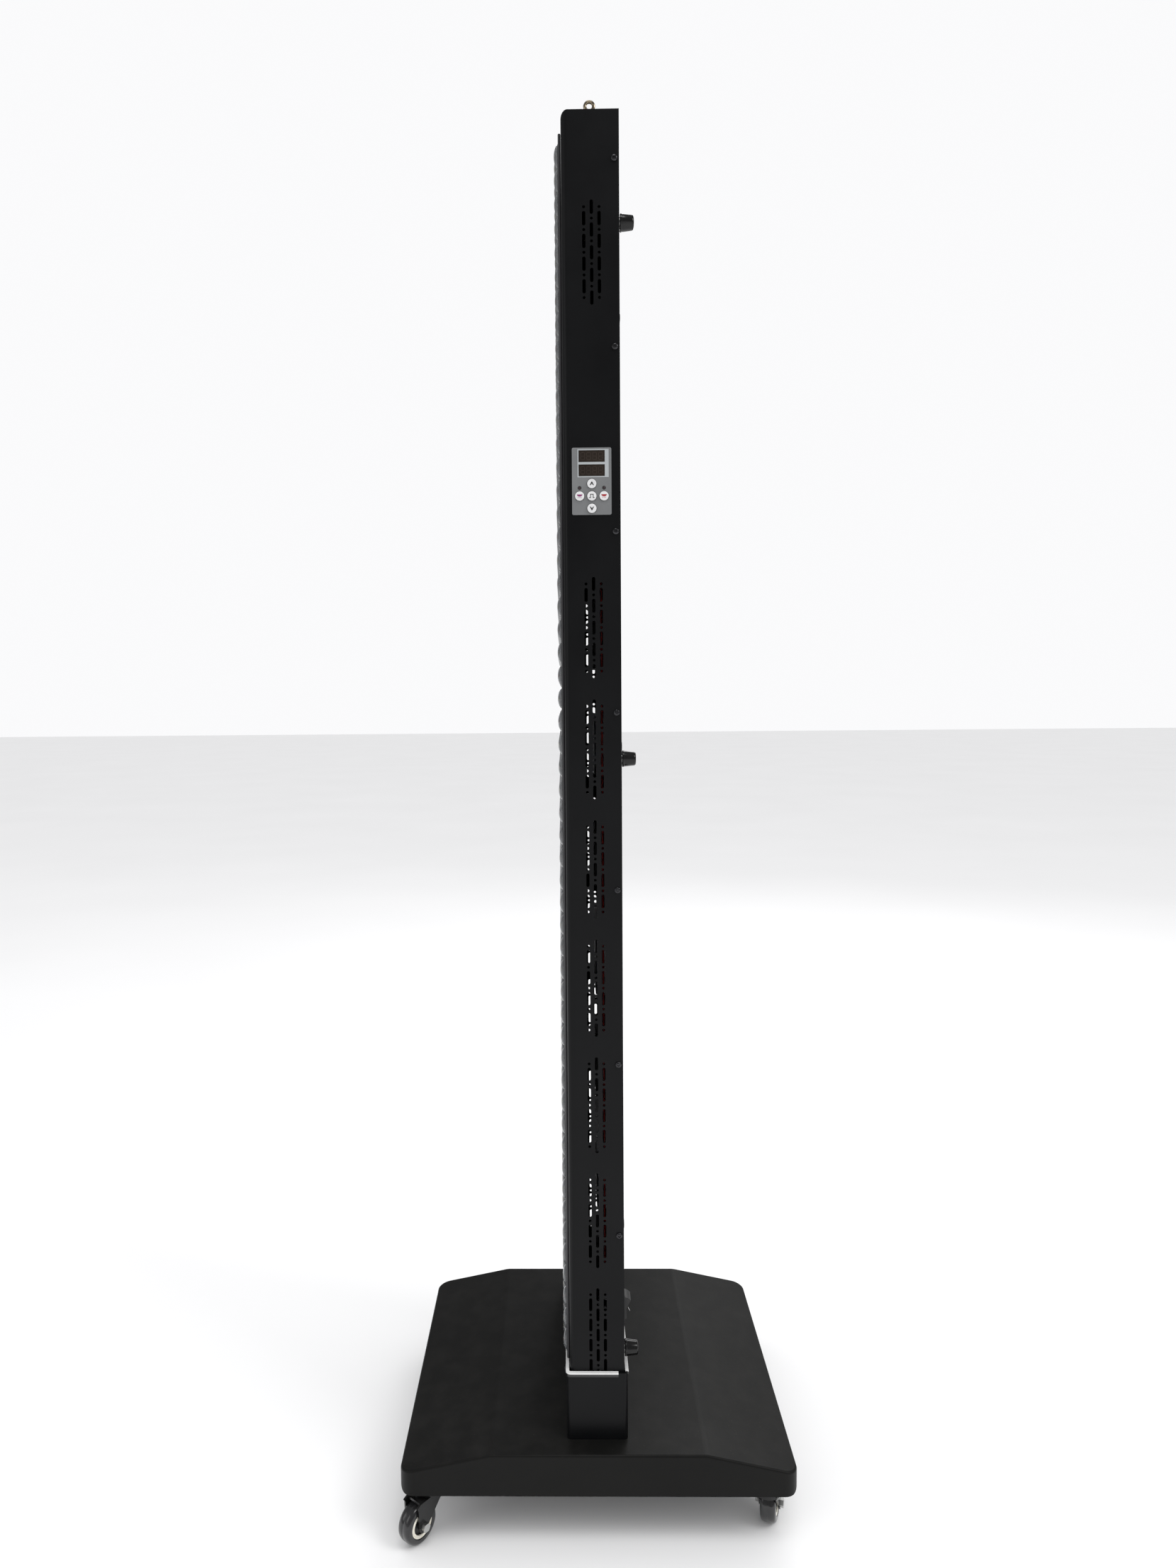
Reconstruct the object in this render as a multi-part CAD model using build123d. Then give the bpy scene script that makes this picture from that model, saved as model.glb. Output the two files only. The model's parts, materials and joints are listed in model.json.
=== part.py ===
from build123d import *
import os

# Full-height light panel standing in a socket on a wheeled floor base.
# Millimetres. The origin is on the floor under the middle of the base, +Z is up.
# The lenses face -Y, the rear cover faces +Y and the controls are on the +X side.

# Housing: a folded front pan closed by a rear cover that sits inside its rim
panel_width = 364.0
panel_depth = 69.5
panel_height = 1640.0
sheet = 1.5
front_edge_radius = 8.0
cover_flange = 12.0
cover_screw_pitch = 220.0
cover_screw_drop = 57.0
cover_screw_inset = 6.0
screw_diameter = 4.0
screw_length = 8.0
screw_head = 8.0
screw_head_height = 2.5

# Lens field on the front
lens_pitch_x = 29.2
lens_pitch_z = 28.8
lens_diameter = 22.0
lens_height = 5.0
plate_proud = 3.5
plate_register = 2.5
plate_side_margin = 18.0
plate_lip = 4.0
first_row_drop = 37.0
last_row_rise = 20.0
board_count = 5
board_thickness = 1.6
board_gap = 2.0
board_gap_behind_sheet = 1.6
spreader_thickness = 2.0
standoff_diameter = 8.0
standoffs_per_side = 6
standoff_outset = 7.0
spreader_overlap = 12.0
spreader_reach = 6.0
board_inset = 3.0
plate_corner = 5.0
register_corner = 3.0

# Side vents: three columns of slots and dots, repeated in groups
vent_column_pitch = 9.2
vent_middle = 1.4
vent_period = 26.5
slot_width = 4.0
slot_length = 16.8
dot_diameter = 3.5
top_vent_drop = 166.0
lower_vent_count = 7
lower_vent_rise = 48.0
vent_group_gap = 15.0

# Control plate on the +X side
control_drop = 436.8
control_to_vent = 176.2
control_middle = -0.1
control_plate_width = 47.8
control_plate_height = 80.4
control_plate_thickness = 1.2
control_lip = 1.0
window_width = 31.7
window_height = 14.0
window_pitch = 16.9
window_rise = 30.0
button_diameter = 11.2
button_pitch = 14.8
button_drop = 17.8
indicator_rise = 9.9
button_proud = 1.6
button_flange = 0.6
button_travel = 0.8
indicator_diameter = 3.0
board_to_wall = 6.9
control_stud_x = 16.5
control_stud_rise = 5.6
control_board_margin = 4.0
key_switch_size = 6.0
key_switch_height = 2.3
button_stem = 5.0
button_flange_thickness = 0.8
window_play = 0.1
window_proud = 0.2
indicator_proud = 0.4

# Cooling fans and LED drivers take turns down the rear cover
fan_size = 92.0
fan_depth = 25.0
fan_bore = 88.0
fan_hub = 36.0
fan_hole_pitch = 82.5
fan_shaft = 6.0
fan_spider = 4.0
fan_arm = 5.0
fan_screw_head = 7.0
fan_screw_head_height = 2.0
fan_screw_reach = 18.0
guard_rings = (12.0, 21.5, 31.0, 40.5)
guard_slot = 6.0
guard_spoke = 7.0
blade_count = 7
blade_pitch_angle = 35.0
blade_thickness = 2.2
blade_tip_gap = 2.0
blade_root = 2.0
rotor_short = 7.0
gasket_thickness = 4.0
driver_width = 200.0
driver_height = 80.0
driver_offset = -30.0
driver_depth = 29.0

# Power inlet and rocker switch at the foot of the rear cover
socket_row_rise = 70.0
inlet_x = 95.0
inlet_flange = (31.0, 26.0, 2.5)
inlet_body = (27.0, 20.5, 20.0)
inlet_mouth = (24.2, 16.8, 18.0)
inlet_pins = ((-7, -1.5), (7, -1.5), (0, 3.5))
rocker_x = 150.0
switch_flange = (25.0, 35.0, 2.0)
switch_body = (22.6, 32.6, 18.5)
switch_well = 12.5
switch_pin = 3.0
rocker_radius = 15.0
rocker_width = 19.6
rocker_throw = 24.0
rocker_pivot_depth = 1.0
window_cut_play = 0.4
wire_radius = 1.25
supply_radius = 1.6

# Hanging eyes, rear feet
eye_inset = 15.0
eye_wire = 3.5
eye_outside = 14.5
eye_height = 18.0
eye_shank = 5.0
eye_shank_depth = 14.0
eye_collar = 10.0
eye_collar_height = 2.0
eye_nut = 8.0
eye_nut_height = 5.0
foot_inset = 22.0
foot_drops = (123.0, 775.0, 1537.0)
foot_length = 17.0
foot_root = 21.0
foot_tip = 17.0
foot_washer = 1.5
foot_seat = 6.0
foot_bore = 9.2
foot_washer_diameter = 13.0
foot_screw_head_height = 2.6

# Socket that holds the foot of the panel
socket_clearance = 2.0
socket_wall = 2.0
socket_height = 87.0
socket_corner = 5.0
trim_wall = 1.2
trim_inner = 1.0
trim_skirt = 4.0
trim_stop = 12.0
clamp_inset = 32.0
clamp_drop = 19.0
clamp_thread = 6.0
clamp_head = 12.0
clamp_head_height = 3.0
socket_bolt = 6.0
socket_bolt_flats = 10.0
socket_bolt_head = 4.0
socket_bolt_y = 20.0

# Base on four swivelling casters
base_length = 500.0
base_side_margin = 29.0
base_wall = 2.0
base_over_wheel = 14.0
base_shoulder = 29.0
base_rise = 24.0
plateau_length = 272.0
base_corner_radius = 18.0
base_bend_radius = 34.0
base_foot_radius = 8.0
base_rim_radius = 3.0
rail_inset = 35.0
rail_width = 36.0
rail_height = 24.0
rail_wall = 2.5
seat_diameter = 36.0
seat_sleeve = 16.0
seat_short = 4.0
wheel_diameter = 50.0
wheel_width = 20.0
hub_diameter = 33.0
axle_diameter = 6.0
stem_diameter = 10.0
caster_inset = 25.0
caster_trail = 22.0
crown_diameter = 34.0
crown_sheet = 3.0
fork_heel = 12.0
fork_toe = 27.0
fork_nose = 33.0
braked_nose = 40.0
fork_ear = 8.0
axle_flats = 10.0
axle_head = 4.0
axle_nut = 5.0
hub_dish = 25.0
hub_boss = 12.0
hub_dish_depth = 1.5
tyre_round = 3.0
pedal_pin_x = 30.0
pedal_pin = 3.0

# Clearances
running = 0.05
free = 0.3
hole_play = 0.25
register_play = 0.3

# Where each caster stands, which way it trails and whether it has a brake
casters = (
    ("1", 1, -1, -39.7, False),
    ("2", 1, 1, 160.1, True),
    ("3", -1, 1, 140.3, False),
    ("4", -1, -1, -19.9, True),
)

# Levels and planes that several pieces share
base_bottom = wheel_diameter + base_over_wheel
socket_width = panel_width + 2 * (socket_clearance + socket_wall)
socket_depth = panel_depth + 2 * (socket_clearance + socket_wall)
base_width = socket_width + 2 * base_side_margin
base_top = base_bottom + base_shoulder + base_rise
socket_rim = base_top + socket_height
panel_bottom = base_top + socket_wall
screw_hole = screw_diameter / 2 + hole_play
panel_top = panel_bottom + panel_height
panel_middle = (panel_bottom + panel_top) / 2
side = panel_width / 2
front = -panel_depth / 2
rear = panel_depth / 2
inner_side = side - sheet
inner_rear = rear - sheet

plate_half = side - plate_side_margin
plate_top = panel_top - plate_side_margin
plate_bottom = socket_rim + trim_wall + plate_lip
opening_half = plate_half - plate_lip
opening_top = plate_top - plate_lip
opening_bottom = plate_bottom + plate_lip
plate_back = front + plate_register
board_face = plate_back + board_gap_behind_sheet
spreader_face = board_face + board_thickness
spreader_back = spreader_face + spreader_thickness

first_row = panel_top - first_row_drop
row_count = int((first_row - socket_rim - last_row_rise) / lens_pitch_z) + 1
column_count = int((2 * opening_half - lens_diameter) / lens_pitch_x) + 1

control_z = panel_top - control_drop
first_vent = control_z - control_to_vent
last_vent = socket_rim + lower_vent_rise
vent_pitch = (first_vent - last_vent) / (lower_vent_count - 1)
lower_vents = [first_vent - vent_pitch * i for i in range(lower_vent_count)]
slot_count = int((vent_pitch - vent_group_gap) / vent_period)
fan_levels = lower_vents[0::2]
driver_levels = lower_vents[1::2] + [control_z - 31, control_z + 79]
fan_rear = inner_rear - gasket_thickness
fan_middle = fan_rear - fan_depth / 2

plate_outer = side + control_plate_thickness
button_row = control_z - button_drop
control_board_face = inner_side - board_to_wall
buttons = {
    "up": (control_middle, button_row + button_pitch),
    "pulse": (control_middle, button_row),
    "down": (control_middle, button_row - button_pitch),
    "near_red": (control_middle - button_pitch, button_row),
    "red": (control_middle + button_pitch, button_row),
}
indicators = [(control_middle + turn * button_pitch, button_row + indicator_rise)
              for turn in (-1, 1)]

row_z = socket_rim + socket_row_rise
rocker_pivot = rear - rocker_pivot_depth
foot_levels = [panel_top - drop for drop in foot_drops]
foot_spots = [(x, z) for x in (-side + foot_inset, side - foot_inset) for z in foot_levels]
eye_spots = [-side + eye_inset, side - eye_inset]
clamp_spots = [-side + clamp_inset, side - clamp_inset]
clamp_z = socket_rim - clamp_drop
socket_bolts = [(x, y) for x in (-side * 2 / 3, side * 2 / 3) for y in (-socket_bolt_y, socket_bolt_y)]

wheel_radius = wheel_diameter / 2
crown_bottom = wheel_diameter + 3
seat_bottom = base_bottom - 1
crown_top = seat_bottom - free
rail_bottom = base_bottom + 2
caster_x = base_width / 2 - caster_inset
caster_y = base_length / 2 - rail_inset
fork_gap = wheel_width / 2 + 1
fork_sheet = 2.5

to_front = Rot(90, 0, 0)
to_rear = Rot(-90, 0, 0)
to_side = Rot(0, 90, 0)
standing = (Align.CENTER, Align.CENTER, Align.MIN)
hanging = (Align.CENTER, Align.CENTER, Align.MAX)


def block(x_span, y_span, z_span):
    spans = (x_span, y_span, z_span)
    middle = [(low + high) / 2 for low, high in spans]
    size = [high - low for low, high in spans]
    return Pos(*middle) * Box(*size)


def write(name, *pieces):
    solids = [solid for piece in pieces for solid in piece.solids()]
    shape = solids[0] if len(solids) == 1 else Compound(solids)
    export_step(shape, f"parts/{name}.step")


def pan_screw(diameter, length, head, head_height):
    cap = Cylinder(head / 2, head_height, align=standing)
    cap = fillet(cap.edges().group_by(Axis.Z)[-1], head_height * 0.5)
    return cap + Cylinder(diameter / 2, length, align=hanging)


def hex_prism(across_flats, height):
    return extrude(RegularPolygon(across_flats / 2, 6, major_radius=False), height)


def wire(points, radius, bend):
    path = FilletPolyline(*points, radius=bend)
    section = Plane(origin=path @ 0, z_dir=path % 0) * Circle(radius)
    return sweep(section, path=path)


# ---- Housing ----

def cover_screw_spots():
    level = panel_top - cover_screw_drop
    spots = []
    while level > socket_rim + 20:
        spots.append(level)
        level -= cover_screw_pitch
    return spots


def vent_outlines(level, count):
    # The middle column starts and ends with a slot, its neighbours with a dot.
    shapes = []
    for column in (-1, 0, 1):
        y = vent_middle + column * vent_column_pitch
        for step in range(2 * count - 1):
            z = level + (step - count + 1) * vent_period / 2
            slotted = (step % 2 == 0) == (column == 0)
            outline = Rot(0, 0, 90) * SlotOverall(slot_length, slot_width)
            shapes.append(Pos(y, z) * (outline if slotted else Circle(dot_diameter / 2)))
    return shapes


def vent_cutters():
    cutters = []
    for level in [panel_top - top_vent_drop] + lower_vents:
        for outline in vent_outlines(level, slot_count):
            cutters.append(extrude(Plane.YZ * outline, panel_width, both=True))
    return cutters


def front_shell():
    outer = block((-side, side), (front, rear), (panel_bottom, panel_top))
    outer = fillet(outer.faces().sort_by(Axis.Y)[0].edges(), front_edge_radius)
    inner = block((-inner_side, inner_side), (front + sheet, rear + 1),
                  (panel_bottom + sheet, panel_top - sheet))
    inner = fillet(inner.faces().sort_by(Axis.Y)[0].edges(), front_edge_radius - sheet)
    shell = outer - inner
    shell -= block((-opening_half, opening_half), (front - 1, 0), (opening_bottom, opening_top))
    reach = control_lip
    half_w = control_plate_width / 2 - reach
    half_h = control_plate_height / 2 - reach
    shell -= block((0, side + 1), (control_middle - half_w, control_middle + half_w),
                   (control_z - half_h, control_z + half_h))
    holes = [Pos(0, rear - cover_screw_inset, z) * to_side
             * Cylinder(screw_hole, panel_width + 10) for z in cover_screw_spots()]
    holes += [Pos(x, 0, panel_top) * Cylinder(eye_shank / 2 + hole_play, 10) for x in eye_spots]
    return shell - (holes + vent_cutters())


def finger_guard(level):
    # Ring slots with a cross of spokes left standing, one set behind each fan.
    spokes = Rectangle(fan_bore, guard_spoke) + Rectangle(guard_spoke, fan_bore)
    cutters = []
    for radius in guard_rings:
        ring = Circle(radius + guard_slot / 2) - Circle(radius - guard_slot / 2) - spokes
        cutters += extrude(ring, 10, both=True).solids()
    return [Pos(0, rear, level) * to_rear * cutter for cutter in cutters]


def rear_cover():
    tray = block((-inner_side, inner_side), (rear - sheet - cover_flange, rear),
                 (panel_bottom + sheet, panel_top - sheet))
    tray -= block((-inner_side + sheet, inner_side - sheet), (0, inner_rear),
                  (panel_bottom + 2 * sheet, panel_top - 2 * sheet))
    cutters = [Pos(0, rear - cover_screw_inset, z) * to_side
               * Cylinder(screw_hole, panel_width + 10) for z in cover_screw_spots()]
    for level in fan_levels:
        cutters += finger_guard(level)
        cutters += [Pos(x, rear, level + z) * to_rear * Cylinder(screw_hole, 10)
                    for x, z in fan_corners()]
    cutters += [Pos(x, rear, z) * to_rear * Cylinder(screw_hole, 10) for x, z in foot_spots]
    cutters.append(Pos(inlet_x, rear, row_z)
                   * Box(inlet_body[0] + window_cut_play, 10, inlet_body[1] + window_cut_play))
    cutters.append(Pos(rocker_x, rear, row_z)
                   * Box(switch_body[0] + window_cut_play, 10, switch_body[1] + window_cut_play))
    return tray - cutters


def cover_screws():
    screw = pan_screw(screw_diameter, screw_length, screw_head, screw_head_height)
    right = [Pos(side, rear - cover_screw_inset, z) * to_side * screw for z in cover_screw_spots()]
    return right + [Rot(0, 0, 180) * Pos(0, -2 * (rear - cover_screw_inset), 0) * piece
                    for piece in right]


# ---- Lens field ----

def lens_spots():
    left = -(column_count - 1) / 2 * lens_pitch_x
    return [(left + column * lens_pitch_x, first_row - row * lens_pitch_z)
            for row in range(row_count) for column in range(column_count)]


def lens_dome():
    foot = lens_diameter / 2
    ball = (foot ** 2 + lens_height ** 2) / (2 * lens_height)
    dome = Pos(0, 0, lens_height - ball) * Sphere(ball)
    return dome & Pos(0, 0, -1) * Cylinder(foot + 1, lens_height + 2, align=standing)


def lens_sheet():
    middle = (plate_top + plate_bottom) / 2
    flange = RectangleRounded(2 * plate_half, plate_top - plate_bottom, plate_corner)
    half = opening_half - register_play
    register = RectangleRounded(2 * half, opening_top - opening_bottom - 2 * register_play,
                                register_corner)
    plate = extrude(flange, plate_proud) + extrude(register, -plate_register)
    dome = Pos(0, 0, plate_proud) * lens_dome()
    plate += [Pos(x, z - middle) * dome for x, z in lens_spots()]
    return Pos(0, front, middle) * to_front * plate


def board_levels():
    pitch = (opening_top - opening_bottom) / board_count
    return [(opening_bottom + i * pitch + board_gap / 2,
             opening_bottom + (i + 1) * pitch - board_gap / 2) for i in range(board_count)]


def led_boards():
    half = opening_half - board_inset
    return [block((-half, half), (board_face, spreader_face), levels) for levels in board_levels()]


def heat_spreader():
    half = opening_half + spreader_overlap
    return block((-half, half), (spreader_face, spreader_back),
                 (opening_bottom - spreader_reach, opening_top + spreader_reach))


def standoffs():
    length = spreader_face - front - sheet
    post = to_rear * Cylinder(standoff_diameter / 2, length, align=standing)
    step = (opening_top - opening_bottom) / (standoffs_per_side - 1)
    pieces = [Pos(turn * (opening_half + standoff_outset), front + sheet,
                  opening_bottom + i * step) * post
              for turn in (-1, 1) for i in range(standoffs_per_side)]
    stud = to_side * Cylinder(2.5, board_to_wall, align=hanging)
    pieces += [Pos(inner_side, control_middle + y, control_z + z) * stud
               for y, z in control_studs()]
    return pieces


# ---- Cooling and power ----

def fan_corners():
    half = fan_hole_pitch / 2
    return [(x, z) for x in (-half, half) for z in (-half, half)]


def fan_frame():
    frame = Box(fan_size, fan_size, fan_depth)
    frame = fillet(frame.edges().filter_by(Axis.Z), 6)
    frame -= Cylinder(fan_bore / 2, fan_depth + 2)
    front_face = -fan_depth / 2
    spider = Pos(0, 0, front_face) * Cylinder(fan_hub / 2 + 1, fan_spider, align=standing)
    for angle in (20, 110):
        arm = Box(fan_bore + 1, fan_arm, fan_spider, align=standing)
        spider += Pos(0, 0, front_face) * Rot(0, 0, angle) * arm
    spider += Pos(0, 0, front_face) * Cylinder(fan_shaft / 2, fan_depth - 3, align=standing)
    frame += spider
    return frame - [Pos(x, y) * Cylinder(screw_hole, fan_depth + 2) for x, y in fan_corners()]


def fan_rotor():
    low = -fan_depth / 2 + fan_spider + free
    hub = Pos(0, 0, low) * Cylinder(fan_hub / 2, fan_depth - rotor_short, align=standing)
    radius = fan_bore / 2 - blade_tip_gap
    span = radius - fan_hub / 2 + blade_root
    blade = Rot(blade_pitch_angle, 0, 0) * Box(span, fan_depth, blade_thickness)
    blade = Pos(fan_hub / 2 - blade_root + span / 2, 0, low + (fan_depth - rotor_short) / 2) * blade
    blades = [Rot(0, 0, 360 / blade_count * i) * blade for i in range(blade_count)]
    rotor = (hub + blades) & Pos(0, 0, low) * Cylinder(radius, fan_depth, align=standing)
    return rotor - Cylinder(fan_shaft / 2 + running, 2 * fan_depth)


def fan_gaskets():
    ring = Box(fan_size, fan_size, gasket_thickness) - Cylinder(fan_bore / 2, gasket_thickness + 2)
    ring -= [Pos(x, y) * Cylinder(screw_hole, gasket_thickness + 2) for x, y in fan_corners()]
    return [Pos(0, inner_rear - gasket_thickness / 2, z) * to_rear * ring for z in fan_levels]


def fan_screws():
    screw = to_rear * pan_screw(screw_diameter, rear - fan_rear + fan_screw_reach, fan_screw_head,
                                fan_screw_head_height)
    return [Pos(x, rear, level + z) * screw for level in fan_levels for x, z in fan_corners()]


def led_drivers():
    half = driver_width / 2
    case = Box(2 * half, driver_depth, driver_height)
    case = chamfer(case.edges().filter_by(Axis.Z), 2)
    return [Pos(driver_offset, inner_rear - driver_depth / 2, z) * case for z in driver_levels]


def power_inlet():
    width, height, depth = inlet_mouth
    mouth = chamfer(Rectangle(width, height).vertices().group_by(Axis.Y)[-1], 4.5)
    body = Box(*inlet_flange, align=standing) + Box(*inlet_body, align=hanging)
    body -= Pos(0, 0, inlet_flange[2]) * extrude(mouth, -depth)
    for x, y in inlet_pins:
        body += Pos(x, y, -16) * Box(2, 4, 14, align=standing)
    return Pos(inlet_x, rear, row_z) * to_rear * body


def switch_housing():
    body = Box(*switch_flange, align=standing) + Box(*switch_body, align=hanging)
    well = (rocker_width + 0.8, 2 * rocker_radius + 2 * free)
    body -= Pos(0, 0, switch_flange[2]) * Box(*well, switch_well, align=hanging)
    body += Pos(0, 0, -rocker_pivot_depth) * to_side * Cylinder(switch_pin / 2, switch_body[0])
    return Pos(rocker_x, rear, row_z) * to_rear * body


def switch_rocker():
    # A disc segment about the pivot, dished across its face, drawn pressed at the foot.
    disc = Circle(rocker_radius)
    face = Polygon((-20, -3), (20, -3), (20, 10), (0, 5), (-20, 10), align=None)
    outline = disc & face
    paddle = extrude(outline, rocker_width / 2, both=True)
    paddle -= Cylinder(switch_pin / 2 + running, rocker_width + 2)
    paddle = Rot(0, 0, rocker_throw / 2) * paddle
    upright = Plane(origin=(rocker_x, rocker_pivot, row_z), x_dir=(0, 0, 1), z_dir=(-1, 0, 0))
    return upright.location * paddle


# ---- Controls ----

def control_studs():
    rise = control_plate_height / 2 + control_stud_rise
    return [(y, z) for y in (-control_stud_x, control_stud_x) for z in (-rise, rise)]


def window_spots():
    top = control_z + window_rise
    return [(control_middle, top), (control_middle, top - window_pitch)]


def control_plate():
    plate = RectangleRounded(control_plate_width, control_plate_height, 2)
    plate = Plane.YZ.offset(side) * Pos(control_middle, control_z) * plate
    plate = extrude(plate, control_plate_thickness)
    cutters = [block((side - 1, side + 4),
                     (y - window_width / 2 - window_play, y + window_width / 2 + window_play),
                     (z - window_height / 2 - window_play, z + window_height / 2 + window_play))
               for y, z in window_spots()]
    cutters += [Pos(side, y, z) * to_side * Cylinder(button_diameter / 2 + free, 10)
                for y, z in buttons.values()]
    cutters += [Pos(side, y, z) * to_side * Cylinder(indicator_diameter / 2 + window_play, 10)
                for y, z in indicators]
    return plate - cutters


def display_windows():
    return [block((side, plate_outer + window_proud), (y - window_width / 2, y + window_width / 2),
                  (z - window_height / 2, z + window_height / 2)) for y, z in window_spots()]


def control_button(y, z):
    cap_length = button_proud + control_plate_thickness + 2 * free
    cap = Cylinder(button_diameter / 2, cap_length, align=hanging)
    cap = fillet(cap.edges().group_by(Axis.Z)[-1], 0.6)
    flange = Cylinder(button_diameter / 2 + button_flange, button_flange_thickness, align=standing)
    stem_end = control_board_face + key_switch_height + button_travel + free
    flange_x = side - free - button_flange_thickness
    stem = Cylinder(button_stem / 2, flange_x - stem_end, align=hanging)
    tail = Pos(flange_x, y, z) * to_side * (flange + stem)
    return Pos(plate_outer + button_proud, y, z) * to_side * cap + tail


def indicator_leds():
    reach = plate_outer + indicator_proud - control_board_face
    body = Cylinder(indicator_diameter / 2, reach, align=standing)
    body = fillet(body.edges().group_by(Axis.Z)[-1], 0.5)
    return [Pos(control_board_face, y, z) * to_side * body for y, z in indicators]


def control_board():
    half_w = control_stud_x + control_board_margin
    half_h = control_plate_height / 2 + control_stud_rise + control_board_margin
    board = block((control_board_face - board_thickness, control_board_face),
                  (control_middle - half_w, control_middle + half_w),
                  (control_z - half_h, control_z + half_h))
    reach = key_switch_size / 2
    keys = [block((control_board_face, control_board_face + key_switch_height),
                  (y - reach, y + reach), (z - reach, z + reach)) for y, z in buttons.values()]
    modules = [block((control_board_face, side), (y - window_width / 2, y + window_width / 2),
                     (z - window_height / 2, z + window_height / 2)) for y, z in window_spots()]
    return [board] + keys + modules


# ---- Wiring ----

def fan_wires():
    # Each fan's lead leaves the control board, drops beside the fans and turns in to its own.
    pieces = []
    y = fan_middle - 3.5
    start = control_board_face - board_thickness
    for i, level in enumerate(fan_levels):
        drop_x = fan_size / 2 + 50 + 4 * i
        top = control_z - 21 - 6 * i
        low = level + fan_size / 2 - 15
        route = ((start, y, top), (drop_x, y, top), (drop_x, y, low), (fan_size / 2, y, low))
        pieces.append(wire(route, wire_radius, 12))
    return pieces


def supply_wires():
    driver_side = driver_offset + driver_width / 2
    driver_top = driver_levels[-1] + driver_height / 2
    y = fan_middle - 7.5
    mains = wire(((rocker_x, rear - switch_body[2], row_z + 6), (rocker_x, y, row_z + 6),
                  (rocker_x, y, driver_levels[-2]), (driver_side, y, driver_levels[-2])),
                 supply_radius, 6)
    low = row_z - 39
    link = wire(((inlet_x, rear - inlet_body[2], row_z), (inlet_x, y - 3, row_z),
                 (inlet_x, y - 3, low),
                 (rocker_x - 5, y - 3, low), (rocker_x - 5, y - 3, row_z - 8),
                 (rocker_x - 5, rear - switch_body[2], row_z - 8)), supply_radius, 5.5)
    rise = panel_top - top_vent_drop - 33
    pair = [wire(((x, 12, driver_top), (x, 12, rise), (x, spreader_back, rise)), supply_radius, 15)
            for x in (driver_side - 32, driver_side - 24)]
    return [mains, link] + pair


# ---- Hanging eyes and rear feet ----

def eye_bolts():
    ring_radius = (eye_outside - eye_wire) / 2
    middle = eye_height - eye_outside / 2
    ring = Pos(0, 0, middle) * to_side * Torus(ring_radius, eye_wire / 2)
    shank = Cylinder(eye_shank / 2, eye_shank_depth + middle - ring_radius, align=standing)
    shank = Pos(0, 0, -eye_shank_depth) * shank
    collar = Cylinder(eye_collar / 2, eye_collar_height, align=standing)
    return [Pos(x, 0, panel_top) * (ring + shank + collar) for x in eye_spots]


def eye_nuts():
    nut = hex_prism(eye_nut, eye_nut_height) - Cylinder(eye_shank / 2 + running, 12)
    return [Pos(x, 0, panel_top - sheet - eye_nut_height) * nut for x in eye_spots]


def rear_feet():
    foot = Cone(foot_root / 2, foot_tip / 2, foot_length, align=standing)
    foot = fillet(foot.edges().group_by(Axis.Z)[-1], 1.5)
    foot -= Pos(0, 0, foot_length) * Cylinder(foot_bore / 2, foot_length - foot_seat, align=hanging)
    foot -= Cylinder(screw_hole, foot_length)
    return [Pos(x, rear + foot_washer, z) * to_rear * foot for x, z in foot_spots]


def feet_screws():
    seat = foot_washer + foot_seat
    screw = pan_screw(screw_diameter, seat + 6, screw_head, foot_screw_head_height)
    screw = Pos(0, 0, seat) * screw
    washer = Cylinder(foot_washer_diameter / 2, foot_washer, align=standing)
    washer -= Cylinder(screw_hole, 10)
    return [Pos(x, rear, z) * to_rear * piece for x, z in foot_spots for piece in (screw, washer)]


# ---- Socket ----

def socket_ring(grow):
    return RectangleRounded(socket_width + 2 * grow, socket_depth + 2 * grow, socket_corner + grow)


def socket_box():
    outer = Pos(0, 0, base_top) * extrude(socket_ring(0), socket_height)
    inner = Pos(0, 0, panel_bottom) * extrude(socket_ring(-socket_wall), socket_height)
    box = outer - inner
    box -= [Pos(x, y, base_top) * Cylinder(socket_bolt / 2 + hole_play, 10)
                  for x, y in socket_bolts]
    return box - [Pos(x, 0, clamp_z) * to_rear
                  * Cylinder(clamp_thread / 2 + hole_play, socket_depth + 10)
                  for x in clamp_spots]


def socket_bolt_set():
    head = Pos(0, 0, base_top - base_wall) * hex_prism(socket_bolt_flats, -socket_bolt_head)
    shank = Cylinder(socket_bolt / 2, base_wall + socket_wall, align=standing)
    shank = Pos(0, 0, base_top - base_wall) * shank
    return [Pos(x, y, 0) * (head + shank) for x, y in socket_bolts]


def clamp_screws():
    screw = pan_screw(clamp_thread, socket_wall + socket_clearance, clamp_head, clamp_head_height)
    rears = [Pos(x, socket_depth / 2, clamp_z) * to_rear * screw for x in clamp_spots]
    fronts = [Pos(x, -socket_depth / 2, clamp_z) * to_front * screw for x in clamp_spots]
    return rears + fronts


def edge_trim():
    cap = extrude(socket_ring(trim_wall), trim_skirt + trim_wall)
    cap -= extrude(socket_ring(0) - socket_ring(-socket_wall), trim_skirt)
    cap -= extrude(socket_ring(-socket_wall - trim_inner), trim_skirt + trim_wall)
    return Pos(0, 0, socket_rim - trim_skirt) * cap


def front_edge_trim():
    reach = socket_width
    keep = block((-reach, reach), (-reach, socket_depth / 2 - trim_stop), (0, 2 * socket_rim))
    return edge_trim() & keep


def rear_edge_trim():
    reach = socket_width / 2 - socket_corner
    keep = block((-reach, reach), (socket_depth / 2 - socket_corner, socket_depth), (0, 2 * socket_rim))
    return edge_trim() & keep


# ---- Base and casters ----

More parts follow.
